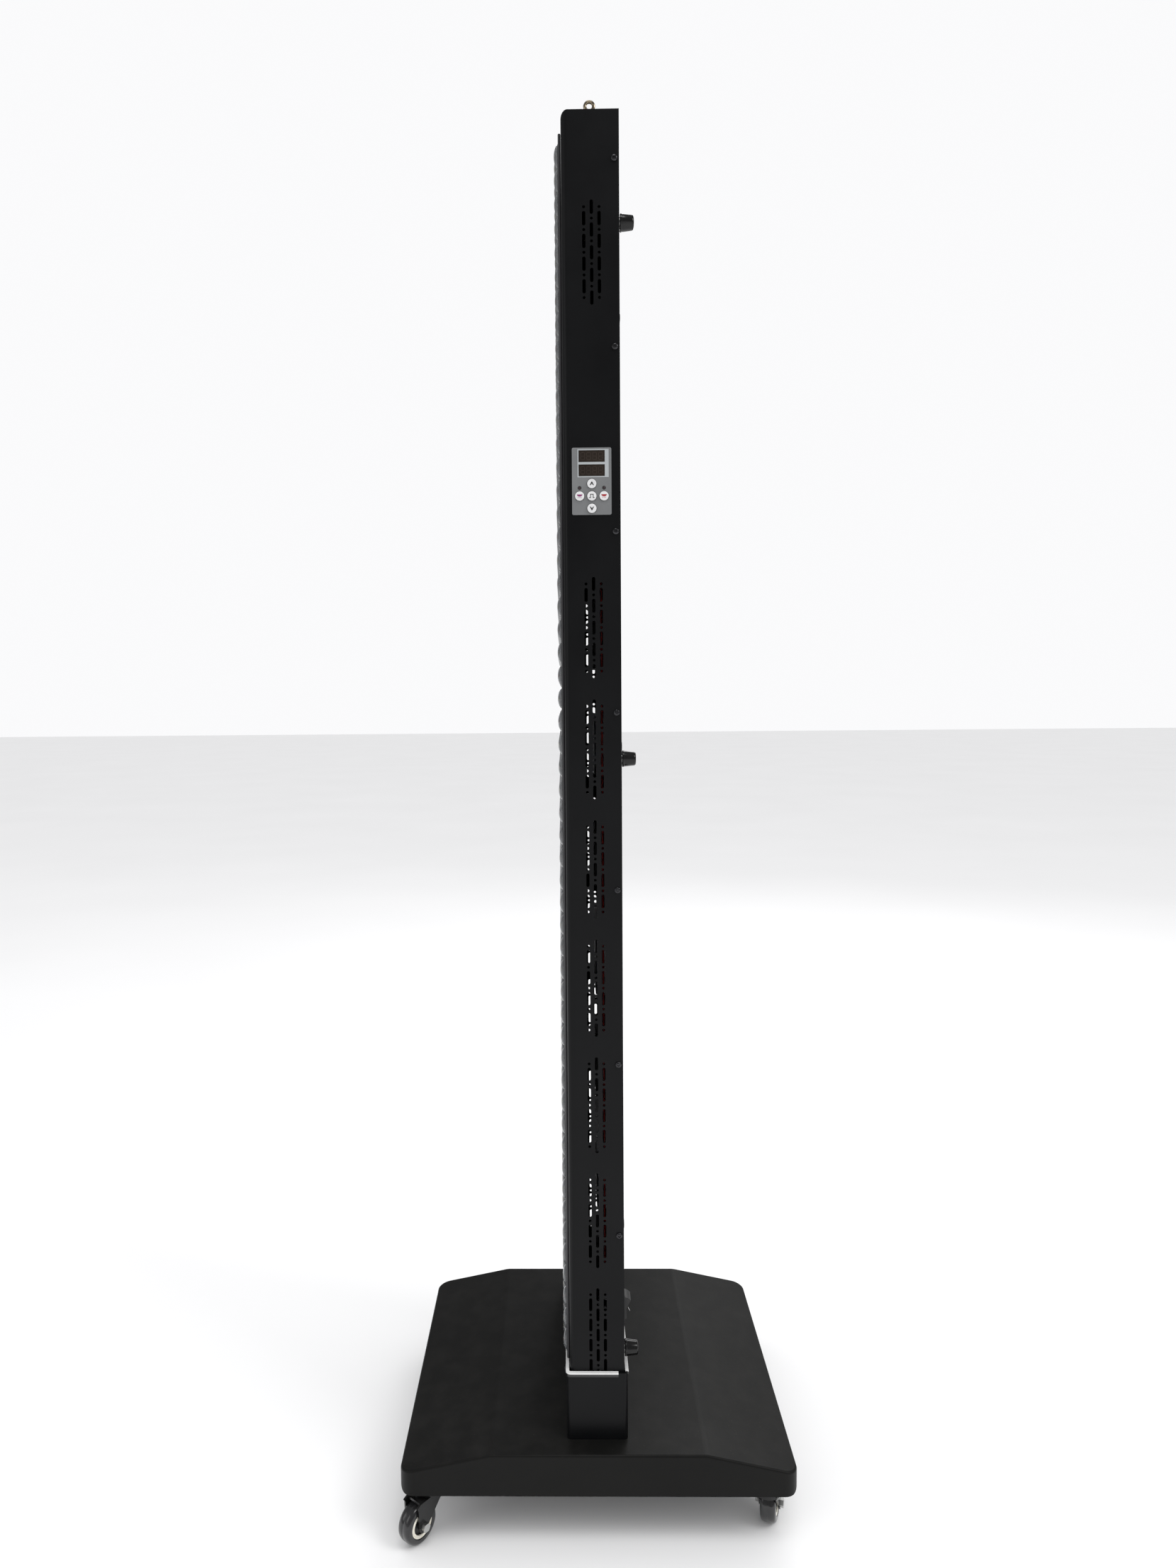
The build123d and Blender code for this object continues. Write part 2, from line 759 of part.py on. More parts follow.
def base_outline(inset):
    # Half profile: rolled foot, short skirt, long slope, flat plateau.
    half = base_length / 2 - inset
    flat = plateau_length / 2 - inset * 0.1
    shoulder = base_bottom + base_shoulder - inset
    top = base_top - inset
    outline = Polygon((-half, base_bottom), (half, base_bottom), (half, shoulder), (flat, top),
                      (-flat, top), (-half, shoulder), align=None)
    outline = fillet(outline.vertices().group_by(Axis.Y)[-1], base_bend_radius)
    if inset == 0:
        outline = fillet(outline.vertices().group_by(Axis.Y)[0], base_foot_radius)
    return outline


def base_body(inset):
    width = base_width - 2 * inset
    bar = extrude(Plane.YZ * base_outline(inset), width / 2, both=True)
    plan = RectangleRounded(width, base_length - 2 * inset, base_corner_radius - inset)
    return bar & extrude(plan, 2 * base_top)


def base_shell():
    outer = base_body(0)
    reach = base_length / 2 - base_corner_radius
    rim = [edge for edge in outer.edges()
           if abs(abs(edge.center().X) - base_width / 2) < 0.5
           and edge.center().Z > base_bottom + base_shoulder and abs(edge.center().Y) < reach]
    outer = fillet(rim, base_rim_radius)
    opening = RectangleRounded(base_width - 2 * base_wall, base_length - 2 * base_foot_radius,
                               base_corner_radius - base_wall)
    shell = outer - base_body(base_wall) - Pos(0, 0, base_bottom - 1) * extrude(opening, 10)
    return shell - [Pos(x, y, base_top) * Cylinder(socket_bolt / 2 + hole_play, 10)
                  for x, y in socket_bolts]


def rail_span():
    return base_width / 2 - base_wall


def base_rails():
    half = rail_span()
    low = caster_y - rail_width / 2
    high = caster_y + rail_width / 2
    rail = block((-half, half), (low, high), (rail_bottom, rail_bottom + rail_height))
    rail -= block((-half - 1, half + 1), (low + rail_wall, high - rail_wall),
                  (rail_bottom + rail_wall, rail_bottom + rail_height + 1))
    rail -= [Pos(x, caster_y, rail_bottom) * Cylinder(seat_sleeve / 2 + hole_play, 20)
             for x in (-caster_x, caster_x)]
    return [rail, Rot(0, 0, 180) * rail]


def caster_seats():
    seat = Cylinder(seat_diameter / 2, rail_bottom - seat_bottom, align=standing)
    sleeve = Cylinder(seat_sleeve / 2, rail_height - seat_short, align=standing)
    seat = Pos(0, 0, seat_bottom) * seat + Pos(0, 0, rail_bottom) * sleeve
    seat -= Cylinder(stem_diameter / 2 + running, 2 * base_top, align=standing)
    return [Pos(x * caster_x, y * caster_y, 0) * seat for _, x, y, _, _ in casters]


def caster_fork(braked):
    top = crown_bottom + crown_sheet
    crown = Cylinder(crown_diameter / 2, crown_top - crown_bottom, align=standing)
    crown = Pos(0, 0, crown_bottom) * crown
    crown += block((-fork_heel, fork_toe), (-fork_gap - fork_sheet, fork_gap + fork_sheet),
                   (crown_bottom, top))
    nose = braked_nose if braked else fork_nose
    side_plate = Polygon((-fork_heel, top), (fork_toe, top), (nose, crown_bottom),
                         (nose - 2, crown_bottom - 4), (caster_trail + fork_ear, wheel_radius),
                         (caster_trail - fork_ear, wheel_radius), (-fork_heel, crown_bottom),
                         align=None)
    side_plate += Pos(caster_trail, wheel_radius) * Circle(fork_ear)
    side_plate -= Pos(caster_trail, wheel_radius) * Circle(axle_diameter / 2 + running)
    plate = extrude(Plane.XZ * side_plate, fork_sheet / 2, both=True)
    middle = fork_gap + fork_sheet / 2
    crown += [Pos(0, turn * middle, 0) * plate for turn in (-1, 1)]
    if braked:
        pin = to_rear * Cylinder(pedal_pin / 2, 2 * fork_gap + 2)
        crown += Pos(pedal_pin_x, 0, crown_bottom - 1) * pin
    stem_top = rail_bottom + rail_height - 5
    return crown + Cylinder(stem_diameter / 2, stem_top, align=standing) - stem_below_crown()


def stem_below_crown():
    return Cylinder(stem_diameter, crown_bottom, align=standing)


def caster_axle():
    half = fork_gap + fork_sheet
    bolt = Cylinder(axle_diameter / 2, 2 * half)
    bolt += Pos(0, 0, half) * hex_prism(axle_flats, axle_head)
    bolt += Pos(0, 0, -half) * hex_prism(axle_flats, -axle_nut)
    return Pos(caster_trail, 0, wheel_radius) * to_front * bolt


def caster_tyre():
    tyre = Cylinder(wheel_radius, wheel_width)
    tyre = fillet(tyre.edges(), tyre_round) - Cylinder(hub_diameter / 2, wheel_width + 2)
    return Pos(caster_trail, 0, wheel_radius) * to_front * tyre


def caster_hub():
    hub = Cylinder(hub_diameter / 2, wheel_width - 1)
    for turn in (-1, 1):
        face = turn * (wheel_width - 1) / 2
        hub -= Pos(0, 0, face) * (Cylinder(hub_dish / 2, 2 * hub_dish_depth)
                                  - Cylinder(hub_boss / 2, 2 * hub_dish_depth))
    hub -= Cylinder(axle_diameter / 2 + running, wheel_width + 2)
    return Pos(caster_trail, 0, wheel_radius) * to_front * hub


def brake_pedal():
    # Lever over the tyre with a ribbed toe plate, turning on a pin between the fork plates.
    half = fork_gap - free
    x, z = pedal_pin_x, crown_bottom - 1
    profile = Polygon((x + 3, z - 1), (x + 26, z - 2.5), (x + 28, z - 0.5), (x + 27, z + 2),
                      (x + 4, z + 3), align=None)
    profile += Pos(x, z) * Circle(2.6)
    profile += Polygon((x, z + 2.5), (x + 4, z + 3), (x + 12, z - 1), (x + 12, z - 4),
                       (x + 7, z - 4), (x + 1, z - 2.5), align=None)
    profile += [Pos(x + 12 + 3 * i, z + 2.6) * Circle(1) for i in range(5)]
    profile -= Pos(x, z) * Circle(pedal_pin / 2 + running)
    return extrude(Plane.XZ * profile, half, both=True)


def at_caster(x, y, yaw):
    return Pos(x * caster_x, y * caster_y, 0) * Rot(0, 0, yaw)


def write_casters():
    for name, x, y, yaw, braked in casters:
        spot = at_caster(x, y, yaw)
        write(f"caster_fork_{name}", spot * caster_fork(braked))
        write(f"caster_axle_{name}", spot * caster_axle())
        write(f"caster_tyre_{name}", spot * caster_tyre())
        write(f"caster_hub_{name}", spot * caster_hub())
        if braked:
            write(f"brake_pedal_{name}", spot * brake_pedal())


def write_panel():
    write("front_shell", front_shell())
    write("rear_cover", rear_cover())
    write("cover_screws", *cover_screws())
    write("lens_sheet", lens_sheet())
    write("heat_spreader", heat_spreader())
    write("led_boards", *led_boards())
    write("board_standoffs", *standoffs())
    write("eye_bolts", *eye_bolts())
    write("eye_nuts", *eye_nuts())
    write("rear_feet", *rear_feet())
    write("feet_screws", *feet_screws())


def write_power():
    write("led_drivers", *led_drivers())
    write("fan_frames", *[Pos(0, fan_middle, z) * to_rear * fan_frame() for z in fan_levels])
    for i, level in enumerate(fan_levels):
        write(f"fan_rotor_{i + 1}", Pos(0, fan_middle, level) * to_rear * fan_rotor())
    write("fan_gaskets", *fan_gaskets())
    write("fan_screws", *fan_screws())
    write("power_inlet", power_inlet())
    write("switch_housing", switch_housing())
    write("switch_rocker", switch_rocker())
    write("fan_wires", *fan_wires())
    write("supply_wires", *supply_wires())


def write_controls():
    write("control_plate", control_plate())
    write("display_windows", *display_windows())
    write("indicator_leds", *indicator_leds())
    write("control_board", *control_board())
    for name, (y, z) in buttons.items():
        write(f"button_{name}", control_button(y, z))


def write_stand():
    write("socket_box", socket_box())
    write("socket_bolts", *socket_bolt_set())
    write("clamp_screws", *clamp_screws())
    write("front_edge_trim", front_edge_trim())
    write("rear_edge_trim", rear_edge_trim())
    write("base_shell", base_shell())
    write("base_rails", *base_rails())
    write("caster_seats", *caster_seats())


os.makedirs("parts", exist_ok=True)
write_panel()
write_power()
write_controls()
write_stand()
write_casters()
print(f"{row_count} rows of {column_count} lenses, {panel_top + eye_height:.0f} mm tall overall")
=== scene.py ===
import json
import random
from math import atan2, cos, pi, radians, sin

import bmesh
import bpy
from mathutils import Euler, Matrix, Vector


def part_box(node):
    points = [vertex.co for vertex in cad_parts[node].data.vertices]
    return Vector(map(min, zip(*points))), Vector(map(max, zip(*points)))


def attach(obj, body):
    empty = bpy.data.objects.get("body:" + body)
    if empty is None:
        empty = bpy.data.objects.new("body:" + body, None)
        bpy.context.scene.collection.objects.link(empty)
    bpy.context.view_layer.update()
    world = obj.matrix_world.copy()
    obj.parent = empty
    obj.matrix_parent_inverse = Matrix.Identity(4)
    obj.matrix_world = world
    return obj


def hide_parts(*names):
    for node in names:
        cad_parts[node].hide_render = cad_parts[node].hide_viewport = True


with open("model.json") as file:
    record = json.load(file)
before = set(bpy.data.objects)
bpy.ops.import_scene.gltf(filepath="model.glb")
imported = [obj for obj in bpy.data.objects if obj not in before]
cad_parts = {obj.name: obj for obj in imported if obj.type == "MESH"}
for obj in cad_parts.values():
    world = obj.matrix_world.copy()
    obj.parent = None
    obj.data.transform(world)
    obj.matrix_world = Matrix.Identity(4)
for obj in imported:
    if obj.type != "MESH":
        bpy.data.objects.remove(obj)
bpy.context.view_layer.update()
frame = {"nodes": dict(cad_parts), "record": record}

nodes = frame["nodes"]
joints = {joint["name"]: joint for joint in frame["record"]["behaviour"]["joints"]}
dice = random.Random(7)


# materials

def newMaterial(name):
    material = bpy.data.materials.new(name)
    material.use_nodes = True
    tree = material.node_tree
    return material, tree.nodes, tree.links, tree.nodes["Principled BSDF"]


def newGroup(name, inputs, outputs):
    # sockets are given as (name, kind), with Float or Color as the kind
    group = bpy.data.node_groups.new(name, "ShaderNodeTree")
    for way, sockets in (("INPUT", inputs), ("OUTPUT", outputs)):
        for socket, kind in sockets:
            group.interface.new_socket(socket, in_out=way, socket_type="NodeSocket" + kind)
    return group, group.nodes, group.links.new


grainSet = dict(fineDetail=3, driftDetail=5, driftRough=0.6, driftRange=(0.35, 0.65), fineShare=0.4,
                peelScale=0.28, peelShare=0.55)


def makeGrainGroup():
    # fine two-scale surface grain with a slow drift, shared by every finish
    group, n, link = newGroup(
        "surfaceGrain",
        (("Fine Scale", "Float"), ("Drift Scale", "Float"), ("Dark", "Color"), ("Light", "Color"),
         ("Rough Low", "Float"), ("Rough High", "Float")),
        (("Color", "Color"), ("Roughness", "Float"), ("Height", "Float")))
    start, end = n.new("NodeGroupInput"), n.new("NodeGroupOutput")
    place = n.new("ShaderNodeTexCoord")
    fine, drift = n.new("ShaderNodeTexNoise"), n.new("ShaderNodeTexNoise")
    fine.inputs["Detail"].default_value = grainSet["fineDetail"]
    drift.inputs["Detail"].default_value = grainSet["driftDetail"]
    drift.inputs["Roughness"].default_value = grainSet["driftRough"]
    link(place.outputs["Object"], fine.inputs["Vector"])
    link(place.outputs["Object"], drift.inputs["Vector"])
    link(start.outputs["Fine Scale"], fine.inputs["Scale"])
    link(start.outputs["Drift Scale"], drift.inputs["Scale"])
    spread = n.new("ShaderNodeMapRange")
    spread.inputs["From Min"].default_value = grainSet["driftRange"][0]
    spread.inputs["From Max"].default_value = grainSet["driftRange"][1]
    link(drift.outputs["Fac"], spread.inputs["Value"])
    blend = n.new("ShaderNodeMix")
    blend.data_type = "FLOAT"
    blend.inputs["Factor"].default_value = grainSet["fineShare"]
    link(spread.outputs["Result"], blend.inputs["A"])
    link(fine.outputs["Fac"], blend.inputs["B"])
    tint = n.new("ShaderNodeMix")
    tint.data_type = "RGBA"
    link(blend.outputs["Result"], tint.inputs["Factor"])
    link(start.outputs["Dark"], tint.inputs["A"])
    link(start.outputs["Light"], tint.inputs["B"])
    sheen = n.new("ShaderNodeMix")
    sheen.data_type = "FLOAT"
    link(blend.outputs["Result"], sheen.inputs["Factor"])
    link(start.outputs["Rough Low"], sheen.inputs["A"])
    link(start.outputs["Rough High"], sheen.inputs["B"])
    link(tint.outputs["Result"], end.inputs["Color"])
    link(sheen.outputs["Result"], end.inputs["Roughness"])
    peel = n.new("ShaderNodeTexNoise")
    coarser = n.new("ShaderNodeMath")
    coarser.operation = "MULTIPLY"
    coarser.inputs[1].default_value = grainSet["peelScale"]
    relief = n.new("ShaderNodeMix")
    relief.data_type = "FLOAT"
    relief.inputs["Factor"].default_value = grainSet["peelShare"]
    link(start.outputs["Fine Scale"], coarser.inputs[0])
    link(coarser.outputs["Value"], peel.inputs["Scale"])
    link(place.outputs["Object"], peel.inputs["Vector"])
    link(fine.outputs["Fac"], relief.inputs["A"])
    link(peel.outputs["Fac"], relief.inputs["B"])
    link(relief.outputs["Result"], end.inputs["Height"])
    return group


dustSet = dict(upward=(0.55, 0.98), filmScale=38, filmDetail=6, filmRange=(0.40, 0.75),
               filmMost=0.22, speckScale=420, speckRange=(0.70, 0.76),
               tone=(0.19, 0.18, 0.165), rough=0.9)


def makeDustGroup():
    # a thin uneven film and a few specks on faces that look upwards
    group, n, link = newGroup(
        "settledDust", (("Color", "Color"), ("Roughness", "Float"), ("Amount", "Float")),
        (("Color", "Color"), ("Roughness", "Float")))
    start, end = n.new("NodeGroupInput"), n.new("NodeGroupOutput")
    place, shape = n.new("ShaderNodeTexCoord"), n.new("ShaderNodeNewGeometry")
    axes = n.new("ShaderNodeSeparateXYZ")
    link(shape.outputs["Normal"], axes.inputs["Vector"])
    upward = n.new("ShaderNodeMapRange")
    upward.interpolation_type = "SMOOTHSTEP"
    upward.inputs["From Min"].default_value = dustSet["upward"][0]
    upward.inputs["From Max"].default_value = dustSet["upward"][1]
    link(axes.outputs["Z"], upward.inputs["Value"])
    film, specks = n.new("ShaderNodeTexNoise"), n.new("ShaderNodeTexNoise")
    film.inputs["Scale"].default_value = dustSet["filmScale"]
    film.inputs["Detail"].default_value = dustSet["filmDetail"]
    specks.inputs["Scale"].default_value = dustSet["speckScale"]
    link(place.outputs["Object"], film.inputs["Vector"])
    link(place.outputs["Object"], specks.inputs["Vector"])
    patches, dots = n.new("ShaderNodeMapRange"), n.new("ShaderNodeMapRange")
    patches.inputs["From Min"].default_value = dustSet["filmRange"][0]
    patches.inputs["From Max"].default_value = dustSet["filmRange"][1]
    patches.inputs["To Max"].default_value = dustSet["filmMost"]
    dots.inputs["From Min"].default_value = dustSet["speckRange"][0]
    dots.inputs["From Max"].default_value = dustSet["speckRange"][1]
    link(film.outputs["Fac"], patches.inputs["Value"])
    link(specks.outputs["Fac"], dots.inputs["Value"])
    both = n.new("ShaderNodeMath")
    both.operation = "MAXIMUM"
    link(patches.outputs["Result"], both.inputs[0])
    link(dots.outputs["Result"], both.inputs[1])
    onTop, weighed = n.new("ShaderNodeMath"), n.new("ShaderNodeMath")
    for step in (onTop, weighed):
        step.operation = "MULTIPLY"
    link(both.outputs["Value"], onTop.inputs[0])
    link(upward.outputs["Result"], onTop.inputs[1])
    link(onTop.outputs["Value"], weighed.inputs[0])
    link(start.outputs["Amount"], weighed.inputs[1])
    tint, rougher = n.new("ShaderNodeMix"), n.new("ShaderNodeMix")
    tint.data_type, rougher.data_type = "RGBA", "FLOAT"
    tint.inputs["B"].default_value = (*dustSet["tone"], 1)
    rougher.inputs["B"].default_value = dustSet["rough"]
    for step in (tint, rougher):
        link(weighed.outputs["Value"], step.inputs["Factor"])
    link(start.outputs["Color"], tint.inputs["A"])
    link(start.outputs["Roughness"], rougher.inputs["A"])
    link(tint.outputs["Result"], end.inputs["Color"])
    link(rougher.outputs["Result"], end.inputs["Roughness"])
    return group


grainGroup = makeGrainGroup()
dustGroup = makeDustGroup()


def grained(name, look):
    material, n, links, shader = newMaterial(name)
    grain = n.new("ShaderNodeGroup")
    grain.node_tree = grainGroup
    grain.inputs["Fine Scale"].default_value = look["fine"]
    grain.inputs["Drift Scale"].default_value = look["drift"]
    grain.inputs["Dark"].default_value = (*look["dark"], 1)
    grain.inputs["Light"].default_value = (*look["light"], 1)
    grain.inputs["Rough Low"].default_value = look["rough"][0]
    grain.inputs["Rough High"].default_value = look["rough"][1]
    bump = n.new("ShaderNodeBump")
    bump.inputs["Strength"].default_value = look["bump"]
    bump.inputs["Distance"].default_value = look.get("depth", 0.0002)
    links.new(grain.outputs["Height"], bump.inputs["Height"])
    dust = n.new("ShaderNodeGroup")
    dust.node_tree = dustGroup
    dust.inputs["Amount"].default_value = look.get("dust", 0.12)
    links.new(grain.outputs["Color"], dust.inputs["Color"])
    links.new(grain.outputs["Roughness"], dust.inputs["Roughness"])
    links.new(dust.outputs["Color"], shader.inputs["Base Color"])
    links.new(dust.outputs["Roughness"], shader.inputs["Roughness"])
    links.new(bump.outputs["Normal"], shader.inputs["Normal"])
    shader.inputs["Metallic"].default_value = look.get("metal", 0)
    shader.inputs["IOR"].default_value = look.get("ior", 1.5)
    shader.inputs["Specular IOR Level"].default_value = look.get("gloss", 0.5)
    shader.inputs["Coat Weight"].default_value = look.get("coat", 0)
    shader.inputs["Coat Roughness"].default_value = look.get("coatRough", 0.1)
    shader.inputs["Transmission Weight"].default_value = look.get("clear", 0)
    return material


paintLook = dict(fine=1000, drift=6, dark=(0.0028, 0.0029, 0.0033), light=(0.0060, 0.0062, 0.0068),
                 rough=(0.30, 0.42), bump=0.35, depth=0.00012, gloss=0.14, dust=0.12)
basePaintLook = dict(paintLook, fine=1100, drift=4, dark=(0.0050, 0.0050, 0.0047),
                     light=(0.0088, 0.0087, 0.0082), rough=(0.36, 0.46), bump=0.5, gloss=0.12)
glossPaintLook = dict(fine=700, drift=30, dark=(0.004, 0.004, 0.004), light=(0.009, 0.009, 0.009),
                      rough=(0.12, 0.22), bump=0.08, gloss=0.4)
plateLook = dict(fine=1500, drift=9, dark=(0.020, 0.020, 0.022), light=(0.040, 0.040, 0.043),
                 rough=(0.30, 0.45), bump=0.15)
lensLook = dict(fine=400, drift=20, dark=(0.26, 0.27, 0.28), light=(0.38, 0.39, 0.40),
                rough=(0.06, 0.16), bump=0.05, clear=0.72, ior=1.49, dust=0)
chipLook = dict(fine=2200, drift=300, dark=(0.60, 0.54, 0.24), light=(0.78, 0.72, 0.42),
                rough=(0.35, 0.5), bump=0.2)
redChipLook = dict(chipLook, dark=(0.46, 0.22, 0.17), light=(0.64, 0.36, 0.28))
boardLook = dict(fine=600, drift=12, dark=(0.62, 0.62, 0.60), light=(0.74, 0.74, 0.72),
                 rough=(0.35, 0.5), bump=0.1)
greenBoardLook = dict(boardLook, dark=(0.01, 0.07, 0.03), light=(0.02, 0.11, 0.05))
aluminiumLook = dict(fine=800, drift=15, dark=(0.52, 0.53, 0.54), light=(0.66, 0.66, 0.67),
                     rough=(0.30, 0.45), bump=0.12, metal=1)
zincLook = dict(fine=500, drift=60, dark=(0.42, 0.43, 0.43), light=(0.62, 0.62, 0.60),
                rough=(0.22, 0.42), bump=0.12, metal=1)
blackScrewLook = dict(fine=900, drift=90, dark=(0.025, 0.025, 0.027), light=(0.060, 0.060, 0.064),
                      rough=(0.14, 0.28), bump=0.10, metal=0.85)
rubberLook = dict(fine=700, drift=50, dark=(0.003, 0.003, 0.003), light=(0.007, 0.007, 0.007),
                  rough=(0.10, 0.20), bump=0.08, gloss=0.35, dust=0.05)
foamLook = dict(fine=1800, drift=40, dark=(0.010, 0.010, 0.010), light=(0.030, 0.030, 0.030),
                rough=(0.85, 0.95), bump=0.8, depth=0.0004)
plasticLook = dict(fine=1300, drift=25, dark=(0.010, 0.010, 0.010), light=(0.022, 0.022, 0.023),
                   rough=(0.38, 0.52), bump=0.25)
# painted highlight: these pale tones show only on the top of the edge trim, as the bright line of light
# along it
trimHighlightLook = dict(fine=600, drift=25, dark=(0.66, 0.66, 0.65), light=(0.78, 0.78, 0.77),
                rough=(0.22, 0.34), bump=0.06, coat=0.3)
greyPanelLook = dict(fine=1900, drift=16, dark=(0.125, 0.129, 0.132), light=(0.165, 0.169, 0.172),
                     rough=(0.42, 0.55), bump=0.22)
frameLook = dict(greyPanelLook, dark=(0.30, 0.32, 0.33), light=(0.40, 0.42, 0.43))
glassLook = dict(fine=300, drift=35, dark=(0.012, 0.008, 0.006), light=(0.022, 0.016, 0.012),
                 rough=(0.10, 0.18), bump=0.02, gloss=0.3, dust=0)
segmentLook = dict(glassLook, dark=(0.026, 0.019, 0.016), light=(0.036, 0.026, 0.021))
keyLook = dict(fine=900, drift=80, dark=(0.58, 0.58, 0.59), light=(0.68, 0.68, 0.68),
               rough=(0.28, 0.40), bump=0.08, coat=0.15)
darkLedLook = dict(fine=300, drift=60, dark=(0.018, 0.010, 0.012), light=(0.040, 0.022, 0.026),
                   rough=(0.08, 0.16), bump=0.04, coat=0.6)
inkLook = dict(fine=1500, drift=200, dark=(0.010, 0.010, 0.010), light=(0.030, 0.030, 0.030),
               rough=(0.4, 0.55), bump=0.1)
magentaLook = dict(inkLook, dark=(0.17, 0.022, 0.105), light=(0.25, 0.036, 0.155))
redLook = dict(inkLook, dark=(0.27, 0.006, 0.010), light=(0.37, 0.012, 0.018))
whiteInkLook = dict(inkLook, dark=(0.70, 0.70, 0.70), light=(0.85, 0.85, 0.85))
nickelLook = dict(fine=700, drift=120, dark=(0.20, 0.16, 0.11), light=(0.46, 0.39, 0.28),
                  rough=(0.14, 0.30), bump=0.08, metal=1)
creamRingLook = dict(fine=900, drift=90, dark=(0.66, 0.62, 0.50), light=(0.90, 0.88, 0.80),
                     rough=(0.12, 0.24), bump=0.05, coat=0.5)
tyreLook = dict(fine=600, drift=70, dark=(0.008, 0.008, 0.009), light=(0.018, 0.018, 0.019),
                rough=(0.14, 0.30), bump=0.10, coat=0.35, coatRough=0.12)
wireRedLook = dict(fine=700, drift=60, dark=(0.32, 0.008, 0.008), light=(0.52, 0.020, 0.018),
                   rough=(0.3, 0.42), bump=0.05)
wireGreyLook = dict(wireRedLook, dark=(0.08, 0.08, 0.085), light=(0.16, 0.16, 0.17))

paint = grained("housingPaint", paintLook)
basePaint = grained("basePaint", basePaintLook)
glossPaint = grained("casterPaint", glossPaintLook)
platePlastic = grained("lensPlatePlastic", plateLook)
lensClear = grained("lensClear", lensLook)
chipWarm = grained("emitterPhosphor", chipLook)
chipRed = grained("emitterRed", redChipLook)
boardWhite = grained("ledBoardMask", boardLook)
boardGreen = grained("controlBoardMask", greenBoardLook)
aluminium = grained("spreaderAluminium", aluminiumLook)
zinc = grained("zincPlate", zincLook)
blackScrew = grained("blackScrewSteel", blackScrewLook)
rubber = grained("footRubber", rubberLook)
foam = grained("gasketFoam", foamLook)
plastic = grained("mouldedPlastic", plasticLook)
trim = grained("edgeTrimVinylPaintedHighlight", trimHighlightLook)
greyPanel = grained("controlOverlay", greyPanelLook)
paleFrame = grained("windowFrameInk", frameLook)
darkGlass = grained("displayGlass", glassLook)
segmentInk = grained("restingSegments", segmentLook)
keyWhite = grained("keyCapPlastic", keyLook)
darkLed = grained("indicatorEpoxy", darkLedLook)
blackInk = grained("blackInk", inkLook)
magentaInk = grained("magentaInk", magentaLook)
redInk = grained("redInk", redLook)
whiteInk = grained("whiteInk", whiteInkLook)
nickel = grained("eyeNickel", nickelLook)
creamRing = grained("hubRingCream", creamRingLook)
tyreRubber = grained("tyreRubber", tyreLook)
wireRed = grained("redWireJacket", wireRedLook)
wireGrey = grained("greyWireJacket", wireGreyLook)


# heights below the top of the trim where the painted highlight band is full and where it has faded into
# the black skirt
trimHighlightSet = dict(highlightTo=0.0017, blackFrom=0.0019, skirtTone=(0.006, 0.006, 0.006))


def paintTrimHighlight():
    # painted highlight: the top of the trim is painted bright for the line of light along its rounded
    # edge, and the skirt below it stays black
    n, links = trim.node_tree.nodes, trim.node_tree.links
    shader = n["Principled BSDF"]
    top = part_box("front_edge_trim")[1].z
    place, axes = n.new("ShaderNodeTexCoord"), n.new("ShaderNodeSeparateXYZ")
    edge, tint = n.new("ShaderNodeMapRange"), n.new("ShaderNodeMix")
    edge.inputs["From Min"].default_value = top - trimHighlightSet["blackFrom"]
    edge.inputs["From Max"].default_value = top - trimHighlightSet["highlightTo"]
    tint.data_type = "RGBA"
    tint.inputs["A"].default_value = (*trimHighlightSet["skirtTone"], 1)
    links.new(place.outputs["Object"], axes.inputs["Vector"])
    links.new(axes.outputs["Z"], edge.inputs["Value"])
    links.new(edge.outputs["Result"], tint.inputs["Factor"])
    links.new(shader.inputs["Base Color"].links[0].from_socket, tint.inputs["B"])
    links.new(tint.outputs["Result"], shader.inputs["Base Color"])


paintTrimHighlight()
print("materials ready")


# shared modelling helpers

def finish(bm, name, material, body="stand", replaced=(), smooth=True):
    bmesh.ops.recalc_face_normals(bm, faces=bm.faces)
    mesh = bpy.data.meshes.new(name)
    bm.to_mesh(mesh)
    bm.free()
    piece = bpy.data.objects.new(name, mesh)
    bpy.context.scene.collection.objects.link(piece)
    mesh.materials.append(material)
    if smooth:
        mesh.shade_smooth()
        mesh.set_sharp_from_angle(angle=radians(35))
    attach(piece, body)
    if replaced:
        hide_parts(*replaced)
    return piece


def turned(profile, steps):
    # a lathe: (radius, height) points spun about Z, closed on the axis where the radius is 0
    bm = bmesh.new()
    points = [bm.verts.new((radius, 0, height)) for radius, height in profile]
    edges = [bm.edges.new(pair) for pair in zip(points, points[1:])]
    bmesh.ops.spin(bm, geom=points + edges, cent=(0, 0, 0), axis=(0, 0, 1), angle=2 * pi,
                   steps=steps, use_merge=True)
    bmesh.ops.remove_doubles(bm, verts=bm.verts, dist=1e-6)
    return bm


def bar(size, middle, rim=0.0):
    bm = bmesh.new()
    bmesh.ops.create_cube(bm, size=1)
    bmesh.ops.scale(bm, verts=bm.verts, vec=size)
    bmesh.ops.translate(bm, verts=bm.verts, vec=middle)
    if rim:
        bmesh.ops.bevel(bm, geom=bm.edges, offset=rim, offset_type="OFFSET", segments=2,
                        profile=0.5, affect="EDGES", material=-1)
    return bm


def copyInto(target, source, place):
    # adds the source shape to the target at a place, which is a matrix
    mesh = bpy.data.meshes.new("stamp")
    source.to_mesh(mesh)
    mesh.transform(place)
    target.from_mesh(mesh)
    bpy.data.meshes.remove(mesh)


def stamp(source, places):
    target = bmesh.new()
    for place in places:
        copyInto(target, source, place)
    source.free()
    return target


